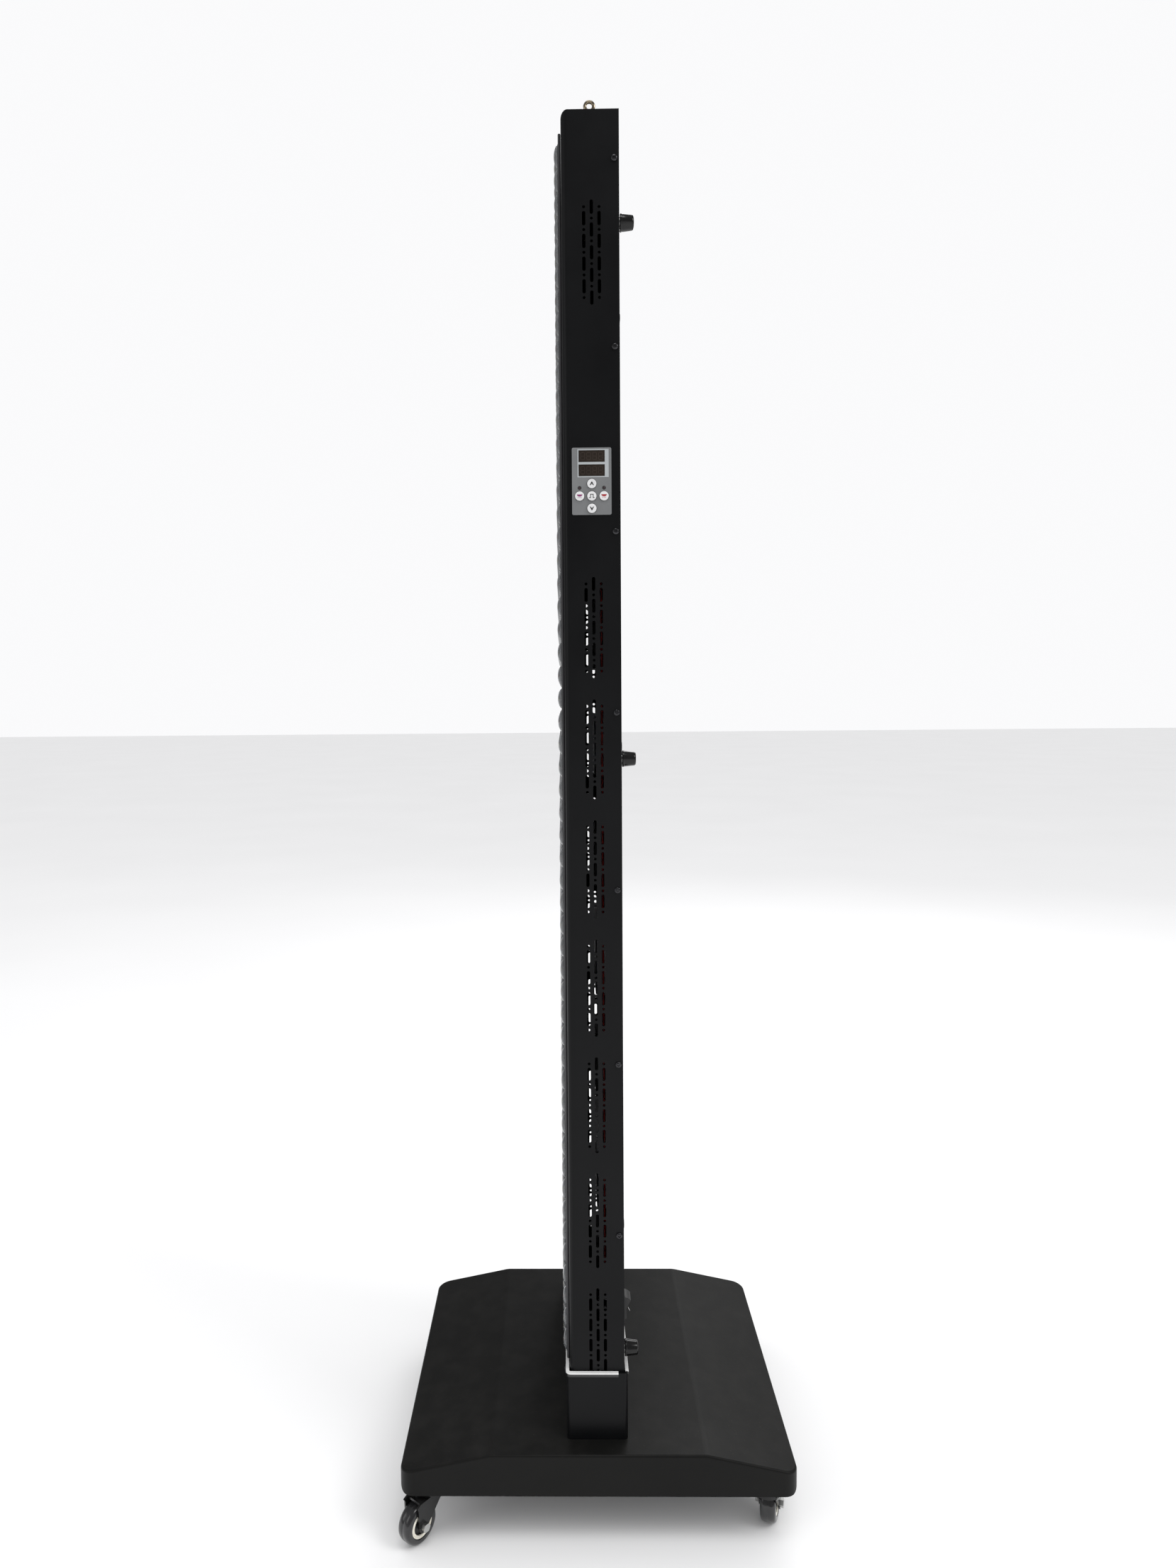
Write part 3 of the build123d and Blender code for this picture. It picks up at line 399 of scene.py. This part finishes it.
def stampField(source, columns, rows):
    # one row first, then the whole row down the field
    line = stamp(source, [Matrix.Translation((x, 0, 0)) for x in columns])
    return stamp(line, [Matrix.Translation((0, 0, z)) for z in rows])


def aimed(place, direction, roll=0.0):
    turn = Vector(direction).to_track_quat("Z", "Y").to_matrix().to_4x4()
    return Matrix.Translation(place) @ turn @ Matrix.Rotation(roll, 4, "Z")


def middleOf(low, high):
    return (low + high) / 2


# lens field: moulded plate, collar and dome for every lens, emitter chips behind the domes
# the domes are wider and a little lower than those of the CAD sheet that they stand for

lensSet = dict(columns=11, rows=53, pitchX=0.0292, firstDrop=0.0190, lastRise=0.0152,
               radius=0.0136, collar=0.0006, domeRise=0.0047, plateEdge=0.0014,
               plateThick=0.0034, plateSetBack=0.005, chip=0.0038, chipThick=0.0006)


def lensColumns():
    half = (lensSet["columns"] - 1) / 2
    return [(i - half) * lensSet["pitchX"] for i in range(lensSet["columns"])]


def lensRows():
    low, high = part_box("lens_sheet")
    top = high.z - lensSet["firstDrop"]
    bottom = low.z + lensSet["lastRise"]
    step = (top - bottom) / (lensSet["rows"] - 1)
    return [top - i * step for i in range(lensSet["rows"])]


def makeLensField():
    low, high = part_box("lens_sheet")
    plateY = low.y + lensSet["plateSetBack"]
    plate = bar((high.x - low.x, lensSet["plateThick"], high.z - low.z),
                (0, plateY + lensSet["plateThick"] / 2, middleOf(low.z, high.z)))
    bmesh.ops.bevel(plate, geom=plate.edges, offset=lensSet["plateEdge"], offset_type="OFFSET",
                    segments=3, profile=0.5, affect="EDGES", material=-1)
    finish(plate, "lensPlate", platePlastic, replaced=["lens_sheet"])
    r, lift = lensSet["radius"], lensSet["collar"]
    towards = Matrix.Rotation(radians(90), 4, "X")
    collar = turned([(r - 0.0016, -0.0002), (r, -0.0002), (r, lift * 0.6), (r - 0.0004, lift),
                     (r - 0.0012, lift), (r - 0.0016, lift * 0.4), (r - 0.0016, -0.0002)], 20)
    bmesh.ops.transform(collar, matrix=Matrix.Translation((0, plateY, 0)) @ towards, verts=collar.verts)
    finish(stampField(collar, lensColumns(), lensRows()), "lensCollars", platePlastic)
    inner, rise = r - 0.0012, lensSet["domeRise"]
    curve = [(inner * cos(a), lift * 0.3 + rise * sin(a)) for a in (0, 0.35, 0.7, 1.05, 1.35, pi / 2)]
    dome = turned([(0, 0), (inner, 0)] + curve[:-1] + [(0, curve[-1][1])], 18)
    bmesh.ops.transform(dome, matrix=Matrix.Translation((0, plateY - 0.0001, 0)) @ towards,
                        verts=dome.verts)
    finish(stampField(dome, lensColumns(), lensRows()), "lensDomes", lensClear)
    for name, shift, finishOf in (("emitterChipsRed", 0, chipRed), ("emitterChipsWarm", 1, chipWarm)):
        chip = bar((lensSet["chip"], lensSet["chipThick"], lensSet["chip"]),
                   (0, plateY - 0.0003, 0), rim=0.0002)
        columns, rows = lensColumns(), lensRows()
        spots = [Matrix.Translation((x, 0, z)) for i, z in enumerate(rows)
                 for j, x in enumerate(columns) if (i + j) % 2 == shift]
        finish(stamp(chip, spots), name, finishOf, smooth=False)


makeLensField()
print("lens field ready")


# fasteners

screwSet = dict(recess=0.42, recessWide=0.16, depth=0.0014, steps=24)


def panHead(radius, height, shank, length):
    profile = [(0, -length), (shank, -length), (shank, 0), (radius, 0), (radius, height * 0.35),
               (radius * 0.93, height * 0.66), (radius * 0.74, height * 0.88),
               (radius * 0.45, height * 0.98), (0, height)]
    head = turned(profile, screwSet["steps"])
    arm, wide = radius * screwSet["recess"] * 2, radius * screwSet["recessWide"] * 2
    cross = bar((arm, wide, screwSet["depth"] * 2), (0, 0, height))
    second = bar((wide, arm, screwSet["depth"] * 2), (0, 0, height))
    copyInto(cross, second, Matrix())
    second.free()
    return cut(head, cross)


def asPiece(bm, name):
    mesh = bpy.data.meshes.new(name)
    bm.to_mesh(mesh)
    bm.free()
    piece = bpy.data.objects.new(name, mesh)
    bpy.context.scene.collection.objects.link(piece)
    return piece


def cut(body, tool):
    # boolean difference, worked out at once so that no modifier is left
    bmesh.ops.recalc_face_normals(body, faces=body.faces)
    bmesh.ops.recalc_face_normals(tool, faces=tool.faces)
    first, second = asPiece(body, "cutBody"), asPiece(tool, "cutTool")
    change = first.modifiers.new("cut", "BOOLEAN")
    change.operation = "DIFFERENCE"
    change.solver = "EXACT"
    change.use_self = True
    change.object = second
    bpy.context.view_layer.update()
    seen = first.evaluated_get(bpy.context.evaluated_depsgraph_get())
    result = bmesh.new()
    result.from_mesh(seen.to_mesh())
    seen.to_mesh_clear()
    for piece in (first, second):
        mesh = piece.data
        bpy.data.objects.remove(piece)
        bpy.data.meshes.remove(mesh)
    return result


def looseBoxes(node):
    # the low and high corner of each loose part of a CAD node, joined where corners meet
    bm = bmesh.new()
    bm.from_mesh(nodes[node].data)
    bmesh.ops.remove_doubles(bm, verts=bm.verts, dist=1e-5)
    left, parts = set(bm.verts), []
    while left:
        todo, part = [left.pop()], []
        while todo:
            vert = todo.pop()
            part.append(vert.co.copy())
            for edge in vert.link_edges:
                other = edge.other_vert(vert)
                if other in left:
                    left.discard(other)
                    todo.append(other)
        low = Vector([min(p[i] for p in part) for i in range(3)])
        high = Vector([max(p[i] for p in part) for i in range(3)])
        parts.append((low, high))
    bm.free()
    # always in the same order, so that each screw gets the same random turn in every run
    return sorted(parts, key=lambda box: [round(value, 4) for value in box[0]])


coverScrewSet = dict(radius=0.0040, height=0.0025, shank=0.0018, length=0.006)
clampScrewSet = dict(radius=0.0060, height=0.0030, shank=0.0029, length=0.004)
fanScrewSet = dict(radius=0.0035, height=0.0020, shank=0.0019, length=0.022)


def makeScrewHeads(node, name, axis, head):
    # axis is 0 for screws that point along X and 1 along Y, outwards on either side
    places = []
    for low, high in looseBoxes(node):
        side = 1 if high[axis] > 0 else -1
        seat, outward = middleOf(low, high), Vector((0, 0, 0))
        seat[axis] = side * (max(abs(low[axis]), abs(high[axis])) - head["height"])
        outward[axis] = side
        places.append(aimed(seat, outward, dice.uniform(0, pi)))
    finish(stamp(panHead(**head), places), name, blackScrew, replaced=[node])


makeScrewHeads("cover_screws", "coverScrewHeads", 0, coverScrewSet)
makeScrewHeads("clamp_screws", "clampScrewHeads", 1, clampScrewSet)
makeScrewHeads("fan_screws", "fanScrewHeads", 1, fanScrewSet)
print("screw heads ready")


# rear feet, hanging eyes

footSet = dict(root=0.0105, tip=0.0085, bore=0.0046, seat=0.006, hole=0.0023, steps=40,
               screwRadius=0.0040, screwHeight=0.0026, screwShank=0.0019, screwPast=0.004)


def makeFeet():
    low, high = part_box("rear_feet")
    length = high.y - low.y
    root, tip, bore, seat = footSet["root"], footSet["tip"], footSet["bore"], footSet["seat"]
    hole = footSet["hole"]
    profile = [(hole, 0), (root - 0.0008, 0), (root, 0.0008), (root - 0.0001, 0.0022),
               (root - 0.0006, 0.0027), (root - 0.0007, 0.0036), (tip + 0.0002, length - 0.0020),
               (tip - 0.0004, length - 0.0007), (tip - 0.0015, length), (bore + 0.0004, length),
               (bore, length - 0.0005), (bore, seat), (hole, seat), (hole, 0)]
    foot = turned(profile, footSet["steps"])
    places = [aimed((middleOf(a.x, b.x), low.y, middleOf(a.z, b.z)), (0, 1, 0))
              for a, b in looseBoxes("rear_feet")]
    spots = [(place.translation.x, place.translation.z) for place in places]
    finish(stamp(foot, places), "rearFeet", rubber, replaced=["rear_feet"])
    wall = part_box("rear_cover")[1].y
    screw = panHead(footSet["screwRadius"], footSet["screwHeight"], footSet["screwShank"],
                    seat + low.y - wall + footSet["screwPast"])
    washer = turned([(0.0022, 0), (0.0063, 0), (0.0065, 0.0002), (0.0065, 0.0013), (0.0063, 0.0015),
                     (0.0022, 0.0015), (0.0022, 0)], 32)
    both = stamp(screw, [aimed((x, low.y + seat, z), (0, 1, 0), dice.uniform(0, pi))
                         for x, z in spots])
    for x, z in spots:
        copyInto(both, washer, aimed((x, wall, z), (0, 1, 0)))
    washer.free()
    finish(both, "footScrewsAndWashers", zinc, replaced=["feet_screws"])


eyeSet = dict(outside=0.0145, wire=0.0040, collar=0.005, steps=44, round=14)


def makeEyes():
    low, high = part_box("eye_bolts")
    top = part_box("front_shell")[1].z
    ring = (eyeSet["outside"] - eyeSet["wire"]) / 2
    thick = eyeSet["wire"] / 2
    section = [(ring + thick * cos(2 * pi * i / eyeSet["round"]),
                thick * sin(2 * pi * i / eyeSet["round"])) for i in range(eyeSet["round"] + 1)]
    loop = turned(section, eyeSet["steps"])
    shank = turned([(0, low.z - top), (0.0024, low.z - top), (0.0025, 0), (0.0046, 0), (0.0050, 0.0004),
                    (0.0050, 0.0016), (0.0045, 0.0020), (0.0028, 0.0020), (0.0022, 0.0034),
                    (0.0020, 0.0044), (0, 0.0046)], 32)
    both = bmesh.new()
    for x in (low.x + eyeSet["collar"], high.x - eyeSet["collar"]):
        copyInto(both, loop, Matrix.Translation((x, 0, high.z - eyeSet["outside"] / 2))
                 @ Matrix.Rotation(radians(90), 4, "Y"))
        copyInto(both, shank, Matrix.Translation((x, 0, top)))
    loop.free()
    shank.free()
    finish(both, "hangingEyes", nickel, replaced=["eye_bolts"])


makeFeet()
makeEyes()
print("feet and eyes ready")


# casters

wheelSet = dict(radius=0.0250, half=0.0100, ring=0.0165, steps=64, faceInset=0.0005,
                bore=0.00305, boss=0.0062, hubSteps=48)


def wheelPlace(number):
    joint = joints[f"wheel_{number}_roll"]
    return aimed(Vector(joint["pos_m"]), Vector(joint["axis"]))


def makeWheel(number):
    r, w, ring = wheelSet["radius"], wheelSet["half"], wheelSet["ring"]
    tread = [(ring, -w + 0.0006), (ring + 0.0008, -w), (r - 0.0042, -w), (r - 0.0022, -w + 0.0007),
             (r - 0.0008, -w + 0.0023), (r - 0.0001, -w + 0.0050), (r, -0.0010), (r - 0.0003, -0.0004),
             (r - 0.0003, 0.0004), (r, 0.0010), (r - 0.0001, w - 0.0050), (r - 0.0008, w - 0.0023),
             (r - 0.0022, w - 0.0007), (r - 0.0042, w), (ring + 0.0008, w), (ring, w - 0.0006),
             (ring, -w + 0.0006)]
    tyre = turned(tread, wheelSet["steps"])
    bmesh.ops.transform(tyre, matrix=wheelPlace(number), verts=tyre.verts)
    finish(tyre, f"tyre{number}", tyreRubber, f"wheel_{number}", [f"caster_tyre_{number}"])
    face, bore, boss = w - wheelSet["faceInset"], wheelSet["bore"], wheelSet["boss"]
    rim = []
    for side in (-1, 1):
        rim.append([(ring - 0.0001, side * (face - 0.002)), (ring - 0.0001, side * (face - 0.0003)),
                    (ring - 0.0006, side * face), (ring - 0.0013, side * face),
                    (ring - 0.0017, side * (face - 0.0005)), (ring - 0.0021, side * (face - 0.0005)),
                    (ring - 0.0025, side * face), (ring - 0.0036, side * face),
                    (ring - 0.0042, side * (face - 0.0006)), (ring - 0.0042, side * (face - 0.002)),
                    (ring - 0.0001, side * (face - 0.002))])
    rings = turned(rim[0], wheelSet["steps"])
    farRing = turned(rim[1], wheelSet["steps"])
    copyInto(rings, farRing, Matrix())
    farRing.free()
    bmesh.ops.transform(rings, matrix=wheelPlace(number), verts=rings.verts)
    finish(rings, f"hubRings{number}", creamRing, f"wheel_{number}", [f"caster_hub_{number}"])
    core = [(bore, -face), (boss - 0.0004, -face), (boss, -face + 0.0005), (boss, -face + 0.0030),
            (ring - 0.0004, -face + 0.0034), (ring - 0.0004, face - 0.0034), (boss, face - 0.0030),
            (boss, face - 0.0005), (boss - 0.0004, face), (bore, face), (bore, -face)]
    hub = turned(core, wheelSet["hubSteps"])
    bmesh.ops.transform(hub, matrix=wheelPlace(number), verts=hub.verts)
    finish(hub, f"hubCore{number}", plastic, f"wheel_{number}")


for number in (1, 2, 3, 4):
    makeWheel(number)
print("wheels ready")


# control side: window frames, resting digits, key symbols

controlSet = dict(printThick=0.00012, digitThick=0.00006, border=0.0013, stripWide=0.0047,
                  digit=0.0088, digitWide=0.0047, digitPitch=0.0072, stroke=0.00085,
                  arrow=0.0042, pulse=0.0034, lamp=0.0032, keyGapShadeRing=(0.0057, 0.0061),
                  indicatorRing=(0.00165, 0.0023))


def flatOutline(points, thick):
    # a closed outline in (Y, Z), raised along +X
    bm = bmesh.new()
    face = bm.faces.new([bm.verts.new((0, y, z)) for y, z in points])
    made = bmesh.ops.extrude_face_region(bm, geom=[face])
    raised = [item for item in made["geom"] if isinstance(item, bmesh.types.BMVert)]
    bmesh.ops.translate(bm, verts=raised, vec=(thick, 0, 0))
    return bm


def windowBoxes():
    return sorted(looseBoxes("display_windows"), key=lambda box: -box[1].z)


def makeWindowFrames():
    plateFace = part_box("control_plate")[1].x
    boxes = windowBoxes()
    low = Vector([min(box[0][i] for box in boxes) for i in range(3)])
    high = Vector([max(box[1][i] for box in boxes) for i in range(3)])
    border = controlSet["border"]
    strip = controlSet["stripWide"]
    thick = controlSet["printThick"]
    bars = [(low.y - border, high.y + strip, high.z, high.z + border),
            (low.y - border, high.y + strip, low.z - border, low.z),
            (low.y, high.y, boxes[1][1].z, boxes[0][0].z),
            (low.y - border, low.y, low.z, high.z),
            (high.y, high.y + strip, low.z, high.z)]
    frames = bmesh.new()
    for y0, y1, z0, z1 in bars:
        piece = bar((thick * 2, y1 - y0, z1 - z0), (plateFace, middleOf(y0, y1), middleOf(z0, z1)))
        copyInto(frames, piece, Matrix())
        piece.free()
    finish(frames, "windowFramePrint", paleFrame, smooth=False)


def segmentBars():
    # seven bars of one resting digit, as (middle y, middle z, length, upright)
    w, h = controlSet["digitWide"], controlSet["digit"]
    return [(0, h / 2, w, False), (0, 0, w, False), (0, -h / 2, w, False),
            (-w / 2, h / 4, h / 2, True), (w / 2, h / 4, h / 2, True),
            (-w / 2, -h / 4, h / 2, True), (w / 2, -h / 4, h / 2, True)]


def makeRestingDigits():
    stroke = controlSet["stroke"]
    digits = bmesh.new()
    for low, high in windowBoxes():
        for step in (-1.5, -0.5, 0.5, 1.5):
            y = middleOf(low.y, high.y) + step * controlSet["digitPitch"]
            for dy, dz, length, upright in segmentBars():
                half, point = length / 2 - stroke * 0.65, stroke / 2
                shape = [(-half, -point), (half, -point), (half + point, 0), (half, point),
                         (-half, point), (-half - point, 0)]
                if upright:
                    shape = [(b, a) for a, b in shape]
                outline = flatOutline(shape, controlSet["digitThick"])
                copyInto(digits, outline,
                         Matrix.Translation((high.x, y + dy, middleOf(low.z, high.z) + dz)))
                outline.free()
    finish(digits, "restingDigits", segmentInk, smooth=False)


def symbolAt(name, outlines, button, body, ink):
    low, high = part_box(button)
    spot = Matrix.Translation((high.x, middleOf(low.y, high.y), middleOf(low.z, high.z)))
    symbol = bmesh.new()
    for points in outlines:
        outline = flatOutline(points, controlSet["printThick"])
        copyInto(symbol, outline, spot)
        outline.free()
    finish(symbol, name, ink, body, smooth=False)


def chevron(turn):
    s = controlSet["arrow"]
    return [(y * s, z * s * turn) for y, z in
            ((-0.62, -0.52), (-0.28, -0.40), (0, 0.02), (0.28, -0.40), (0.62, -0.52), (0.10, 0.56),
             (-0.10, 0.56))]


def pulseBars():
    s = controlSet["pulse"]
    end, step, top, t = s * 0.95, s * 0.35, s * 0.7, s * 0.24
    return [[(-end, -top), (-step, -top), (-step, top - t), (step, top - t), (step, -top),
             (end, -top), (end, -top + t), (step + t, -top + t), (step + t, top),
             (-step - t, top), (-step - t, -top + t), (-end, -top + t)]]


def lampOutlines():
    # a half-round shade with three short rays below
    s = controlSet["lamp"]
    shade = [(s * 1.05 * cos(i * pi / 10), s * (0.55 - 0.75 * sin(i * pi / 10))) for i in range(11)]
    rays = []
    for lean in (-1, 0, 1):
        y, foot = s * 0.45 * lean, s * 0.62 * lean
        rays.append([(y - s * 0.09, -s * 0.36), (y + s * 0.09, -s * 0.36),
                     (foot + s * 0.07, -s * 0.75), (foot - s * 0.07, -s * 0.75)])
    return [shade] + rays


def makeRings(name, nodeList, radii, ink):
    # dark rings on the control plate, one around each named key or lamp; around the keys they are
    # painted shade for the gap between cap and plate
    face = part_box("control_plate")[1].x
    inner, outer = radii
    thick = controlSet["printThick"]
    ring = turned([(inner, 0), (outer, 0), (outer, thick), (inner, thick), (inner, 0)], 36)
    places = []
    for node in nodeList:
        for low, high in looseBoxes(node):
            if high.x > face:
                spot = (face, middleOf(low.y, high.y), middleOf(low.z, high.z))
                places.append(aimed(spot, (1, 0, 0)))
    finish(stamp(ring, places), name, ink, smooth=False)


def makeControlPrints():
    makeWindowFrames()
    keys = ["button_up", "button_down", "button_pulse", "button_near_red", "button_red"]
    # painted shade: a dark ring around each key stands for the shaded gap between the key cap and the
    # plate
    makeRings("keyGapShadeRings", keys, controlSet["keyGapShadeRing"], blackInk)
    makeRings("indicatorRings", ["indicator_leds"], controlSet["indicatorRing"], blackInk)
    makeRestingDigits()
    symbolAt("upSymbol", [chevron(1)], "button_up", "up_button", blackInk)
    symbolAt("downSymbol", [chevron(-1)], "button_down", "down_button", blackInk)
    symbolAt("pulseSymbol", pulseBars(), "button_pulse", "pulse_button", blackInk)
    symbolAt("nearRedSymbol", lampOutlines(), "button_near_red", "near_red_button", magentaInk)
    symbolAt("redSymbol", lampOutlines(), "button_red", "red_button", redInk)


makeControlPrints()
print("control prints ready")


# rear switch marks

switchSet = dict(tilt=12, reach=0.0085, dish=0.005, rise=4, ring=(0.0020, 0.0026),
                 ringThick=0.0001, line=(0.0007, 0.0052, 0.0002))


def makeSwitchMarks():
    low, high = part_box("switch_rocker")
    x = middleOf(low.x, high.x)
    joint = Vector(joints["rocker_switch"]["pos_m"])
    tilt, reach = radians(switchSet["tilt"]), switchSet["reach"]
    marks = bmesh.new()
    (inner, outer), thick = switchSet["ring"], switchSet["ringThick"]
    ring = turned([(inner, 0), (outer, 0), (outer, thick), (inner, thick), (inner, 0)], 28)
    line = bar(switchSet["line"], (0, 0, 0))
    slope = atan2(1, switchSet["rise"])
    for side, shape in ((1, ring), (-1, line)):
        # each half of the dished face rises by one in four on the way out, and leans in by as much
        lean = Vector((0, cos(slope), -side * sin(slope)))
        step = Vector((0, switchSet["dish"] + reach / switchSet["rise"], side * reach))
        turn = Matrix.Rotation(tilt, 3, "X")
        copyInto(marks, shape, aimed(Vector((x, joint.y, joint.z)) + turn @ step, turn @ lean))
    ring.free()
    line.free()
    finish(marks, "switchMarks", whiteInk, "rocker", smooth=False)


makeSwitchMarks()
print("switch marks ready")


# finishes on the CAD pieces that stay

finishes = {
    paint: ["front_shell", "rear_cover", "socket_box", "base_rails"],
    basePaint: ["base_shell"],
    glossPaint: ["caster_fork_1", "caster_fork_2", "caster_fork_3", "caster_fork_4"],
    zinc: ["caster_axle_1", "caster_axle_2", "caster_axle_3", "caster_axle_4", "board_standoffs",
           "eye_nuts", "socket_bolts", "caster_seats"],
    boardWhite: ["led_boards"], boardGreen: ["control_board"],
    aluminium: ["heat_spreader", "led_drivers"],
    foam: ["fan_gaskets"], trim: ["front_edge_trim", "rear_edge_trim"], greyPanel: ["control_plate"],
    darkGlass: ["display_windows"], darkLed: ["indicator_leds"],
    plastic: ["fan_frames", "fan_rotor_1", "fan_rotor_2", "fan_rotor_3", "fan_rotor_4", "power_inlet",
              "switch_housing", "switch_rocker", "brake_pedal_2", "brake_pedal_4"],
    keyWhite: ["button_up", "button_down", "button_pulse", "button_near_red", "button_red"],
    wireRed: ["fan_wires"], wireGrey: ["supply_wires"],
}
for material, names in finishes.items():
    for name in names:
        mesh = nodes[name].data
        mesh.materials.clear()
        mesh.materials.append(material)
print("finishes ready")


# floor, light and camera

stageSet = dict(floorSize=60, floorDark=(0.86, 0.86, 0.86), floorLight=(0.90, 0.90, 0.90),
                cloudScale=1.2, floorRough=0.9,
                worldTone=(0.99, 0.99, 1.0), worldPower=0.97, glossPower=0.28)


def makeStage():
    bm = bmesh.new()
    bmesh.ops.create_grid(bm, x_segments=2, y_segments=2, size=stageSet["floorSize"] / 2)
    floor = asPiece(bm, "studioFloor")
    material, n, links, shader = newMaterial("floorPaint")
    cloud = n.new("ShaderNodeTexNoise")
    cloud.inputs["Scale"].default_value = stageSet["cloudScale"]
    place = n.new("ShaderNodeTexCoord")
    tint = n.new("ShaderNodeMix")
    tint.data_type = "RGBA"
    tint.inputs["A"].default_value = (*stageSet["floorDark"], 1)
    tint.inputs["B"].default_value = (*stageSet["floorLight"], 1)
    links.new(place.outputs["Object"], cloud.inputs["Vector"])
    links.new(cloud.outputs["Fac"], tint.inputs["Factor"])
    links.new(tint.outputs["Result"], shader.inputs["Base Color"])
    shader.inputs["Roughness"].default_value = stageSet["floorRough"]
    floor.data.materials.append(material)
    world = bpy.data.worlds.new("studio")
    bpy.context.scene.world = world
    world.use_nodes = True
    n, links = world.node_tree.nodes, world.node_tree.links
    back, output = n["Background"], n["World Output"]
    back.inputs["Color"].default_value = (*stageSet["worldTone"], 1)
    back.inputs["Strength"].default_value = stageSet["worldPower"]
    # gloss sees a dimmer room, so that black paint stays black in front of a white backdrop
    dim, ray = n.new("ShaderNodeBackground"), n.new("ShaderNodeLightPath")
    choice = n.new("ShaderNodeMixShader")
    dim.inputs["Color"].default_value = (*stageSet["worldTone"], 1)
    dim.inputs["Strength"].default_value = stageSet["glossPower"]
    links.new(ray.outputs["Is Glossy Ray"], choice.inputs["Fac"])
    links.new(back.outputs["Background"], choice.inputs[1])
    links.new(dim.outputs["Background"], choice.inputs[2])
    links.new(choice.outputs["Shader"], output.inputs["Surface"])


lightSet = dict(
    keyLight=dict(place=(1.6, 3.0, 3.4), aim=(0, 0, 0.6), size=(1.6, 1.6), power=55),
    topLight=dict(place=(1.2, 0.1, 4.2), aim=(0, 0, 0.9), size=(1.2, 1.2), power=20),
    fillLight=dict(place=(1.6, -3.4, 2.0), aim=(0, 0, 0.8), size=(1.6, 2.2), power=14),
    rearLight=dict(place=(-3.0, 1.2, 2.8), aim=(0, 0, 0.9), size=(1.8, 1.8), power=30))


def softBox(name, place, aim, size, power):
    light = bpy.data.lights.new(name, "AREA")
    light.shape = "RECTANGLE"
    light.size, light.size_y = size
    light.energy = power
    lamp = bpy.data.objects.new(name, light)
    bpy.context.scene.collection.objects.link(lamp)
    turn = (Vector(aim) - Vector(place)).to_track_quat("-Z", "Y")
    lamp.matrix_world = Matrix.Translation(place) @ turn.to_matrix().to_4x4()


cameraSet = dict(place=(1.4665, -0.0341, 1.0613), down=3.28, turn=0.88, roll=-0.49, lens=24.0,
                 sensor=36, nearest=0.05, shift=(0.0244, -0.0170))


def makeCamera():
    view = bpy.data.cameras.new("view")
    view.lens = cameraSet["lens"]
    view.sensor_width = cameraSet["sensor"]
    view.shift_x, view.shift_y = cameraSet["shift"]
    view.clip_start = cameraSet["nearest"]
    camera = bpy.data.objects.new("view", view)
    bpy.context.scene.collection.objects.link(camera)
    aim = Euler((radians(90 - cameraSet["down"]), 0, radians(90 + cameraSet["turn"]))).to_matrix()
    aim = aim @ Matrix.Rotation(radians(cameraSet["roll"]), 3, "Z")
    camera.matrix_world = Matrix.Translation(cameraSet["place"]) @ aim.to_4x4()
    bpy.context.scene.camera = camera


makeStage()
for name, box in lightSet.items():
    softBox(name, **box)
makeCamera()
bpy.context.scene.view_settings.view_transform = "Standard"
print("stage ready")
